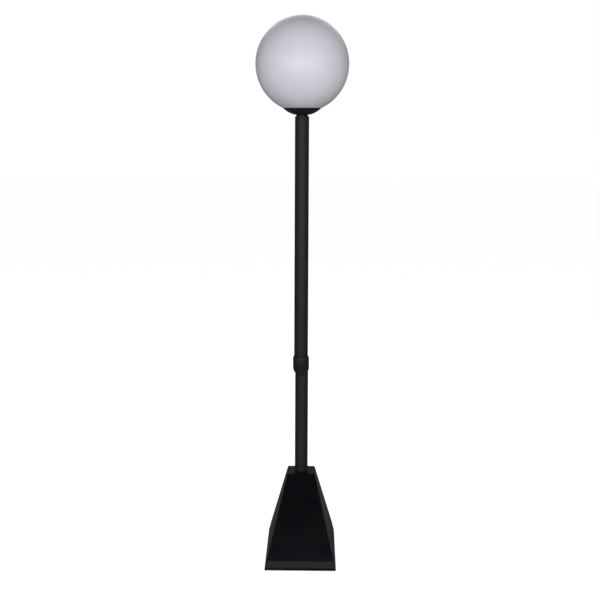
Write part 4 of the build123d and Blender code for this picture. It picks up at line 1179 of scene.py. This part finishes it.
FLOOR_SIZE = 60
FLOOR_TONE = 0.3
FLOOR_GLOW = 0.96
PAINTED_SHADE_EDGE = (0.98, 1.01)  # the glow starts here, as a share of the base's half size; inside it the floor is painted shade
ROOM_LIGHT = 0.10
ROOM_REFLECTION = 0.04


def build_floor():
    """Large floor that looks evenly white from the camera, with painted shade under the base, but
    lights the lamp only softly.
    """
    bpy.ops.mesh.primitive_plane_add(size=FLOOR_SIZE, location=(0, 0, 0))
    floor = bpy.context.object
    floor.name = "studio_floor"
    s = Shader("studio_floor", [FLOOR_TONE] * 3, 0.9, Specular_IOR_Level=0.0)
    s.bsdf.inputs["Emission Color"].default_value = (1, 1, 1, 1)
    ray = s.tree.nodes.new("ShaderNodeLightPath").outputs["Is Camera Ray"]
    # painted contact shade: no glow under the base, so the gap below its cover stays dark
    split = s.tree.nodes.new("ShaderNodeSeparateXYZ")
    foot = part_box("base_cover")[1]
    s.link(s.stretched((1 / foot.x, 1 / foot.y, 1)), split.inputs[0])
    across = [s.math("ABSOLUTE", split.outputs[axis]) for axis in ("X", "Y")]
    clear = s.ramp(s.math("MAXIMUM", *across), 0, FLOOR_GLOW, *PAINTED_SHADE_EDGE)
    s.link(s.math("MULTIPLY", ray, clear), s.bsdf.inputs["Emission Strength"])
    floor.data.materials.append(s.material)
    floor.visible_diffuse = False


def area_light(name, place, aim, width, height, power):
    """Rectangular softbox at place, facing aim."""
    light = bpy.data.lights.new(name, "AREA")
    light.shape = "RECTANGLE"
    light.size = width
    light.size_y = height
    light.energy = power
    lamp = bpy.data.objects.new(name, light)
    bpy.context.scene.collection.objects.link(lamp)
    lamp.location = place
    lamp.visible_camera = False
    lamp.rotation_mode = "QUATERNION"
    lamp.rotation_quaternion = (Vector(aim) - Vector(place)).to_track_quat("-Z", "Y")
    return lamp


def build_surroundings():
    """White backdrop to look at, which gives the room only a dim even light."""
    world = bpy.data.worlds.new("studio")
    bpy.context.scene.world = world
    world.use_nodes = True
    tree = world.node_tree
    ray = tree.nodes.new("ShaderNodeLightPath")
    seen = tree.nodes["Background"].outputs["Background"]
    tree.nodes["Background"].inputs["Color"].default_value = (*[ROOM_LIGHT] * 3, 1)
    for kind, brightness in (("Is Glossy Ray", ROOM_REFLECTION), ("Is Camera Ray", 1)):
        shade = tree.nodes.new("ShaderNodeBackground")
        shade.inputs["Color"].default_value = (*[brightness] * 3, 1)
        mix = tree.nodes.new("ShaderNodeMixShader")
        tree.links.new(ray.outputs[kind], mix.inputs["Fac"])
        tree.links.new(seen, mix.inputs[1])
        tree.links.new(shade.outputs["Background"], mix.inputs[2])
        seen = mix.outputs["Shader"]
    tree.links.new(seen, tree.nodes["World Output"].inputs["Surface"])


# name, place, aim, width, height, power: a wide soft front, weaker sides and back
SOFTBOXES = (
    ("front_softbox", (0.1, -4.5, 1.35), (0, 0, 1.0), 4.4, 1.4, 120),
    ("left_softbox", (-3.1, -3.5, 1.35), (0, 0, 1.0), 2.4, 1.4, 30),
    ("right_softbox", (3.1, -3.5, 1.35), (0, 0, 1.0), 2.4, 1.4, 28),
    ("left_side_softbox", (-3.4, -0.2, 1.3), (0, 0, 0.7), 1.8, 2.2, 8),
    ("right_side_softbox", (3.4, -0.2, 1.3), (0, 0, 0.7), 1.8, 2.2, 8),
    ("back_softbox", (0, 3.3, 3.15), (0, 0, 0.9), 3.6, 1.6, 50),
    ("floor_bounce", (0, -0.230, 0.004), (0, -0.230, 1), 0.30, 0.10, 0.25),
)

build_floor()
build_surroundings()
for softbox in SOFTBOXES:
    area_light(*softbox)

# The camera stands level with the lamp's upper tube, a little to the right, looking slightly down.
CAMERA_PLACE = (0.0343, -3.2198, 1.2258)
CAMERA_PITCH = 8.24  # degrees, as are the next two
CAMERA_YAW = 0.714
CAMERA_ROLL = 0.252
CAMERA_LENS = 66.88  # millimetres, on a 36 mm sensor


def build_camera():
    """Camera at a standing person's distance, on a long lens."""
    data = bpy.data.cameras.new("camera")
    data.sensor_width = 36
    data.lens = CAMERA_LENS
    data.clip_end = 200
    camera = bpy.data.objects.new("camera", data)
    bpy.context.scene.collection.objects.link(camera)
    pitch, yaw = math.radians(CAMERA_PITCH), math.radians(CAMERA_YAW)
    level = math.cos(pitch)
    look = Vector((-math.sin(yaw) * level, math.cos(yaw) * level, -math.sin(pitch)))
    turn = look.to_track_quat("-Z", "Y").to_matrix().to_4x4()
    roll = Matrix.Rotation(math.radians(CAMERA_ROLL), 4, "Z")
    camera.matrix_world = Matrix.Translation(CAMERA_PLACE) @ turn @ roll
    bpy.context.scene.camera = camera


build_camera()
bpy.context.scene.view_settings.view_transform = "Standard"
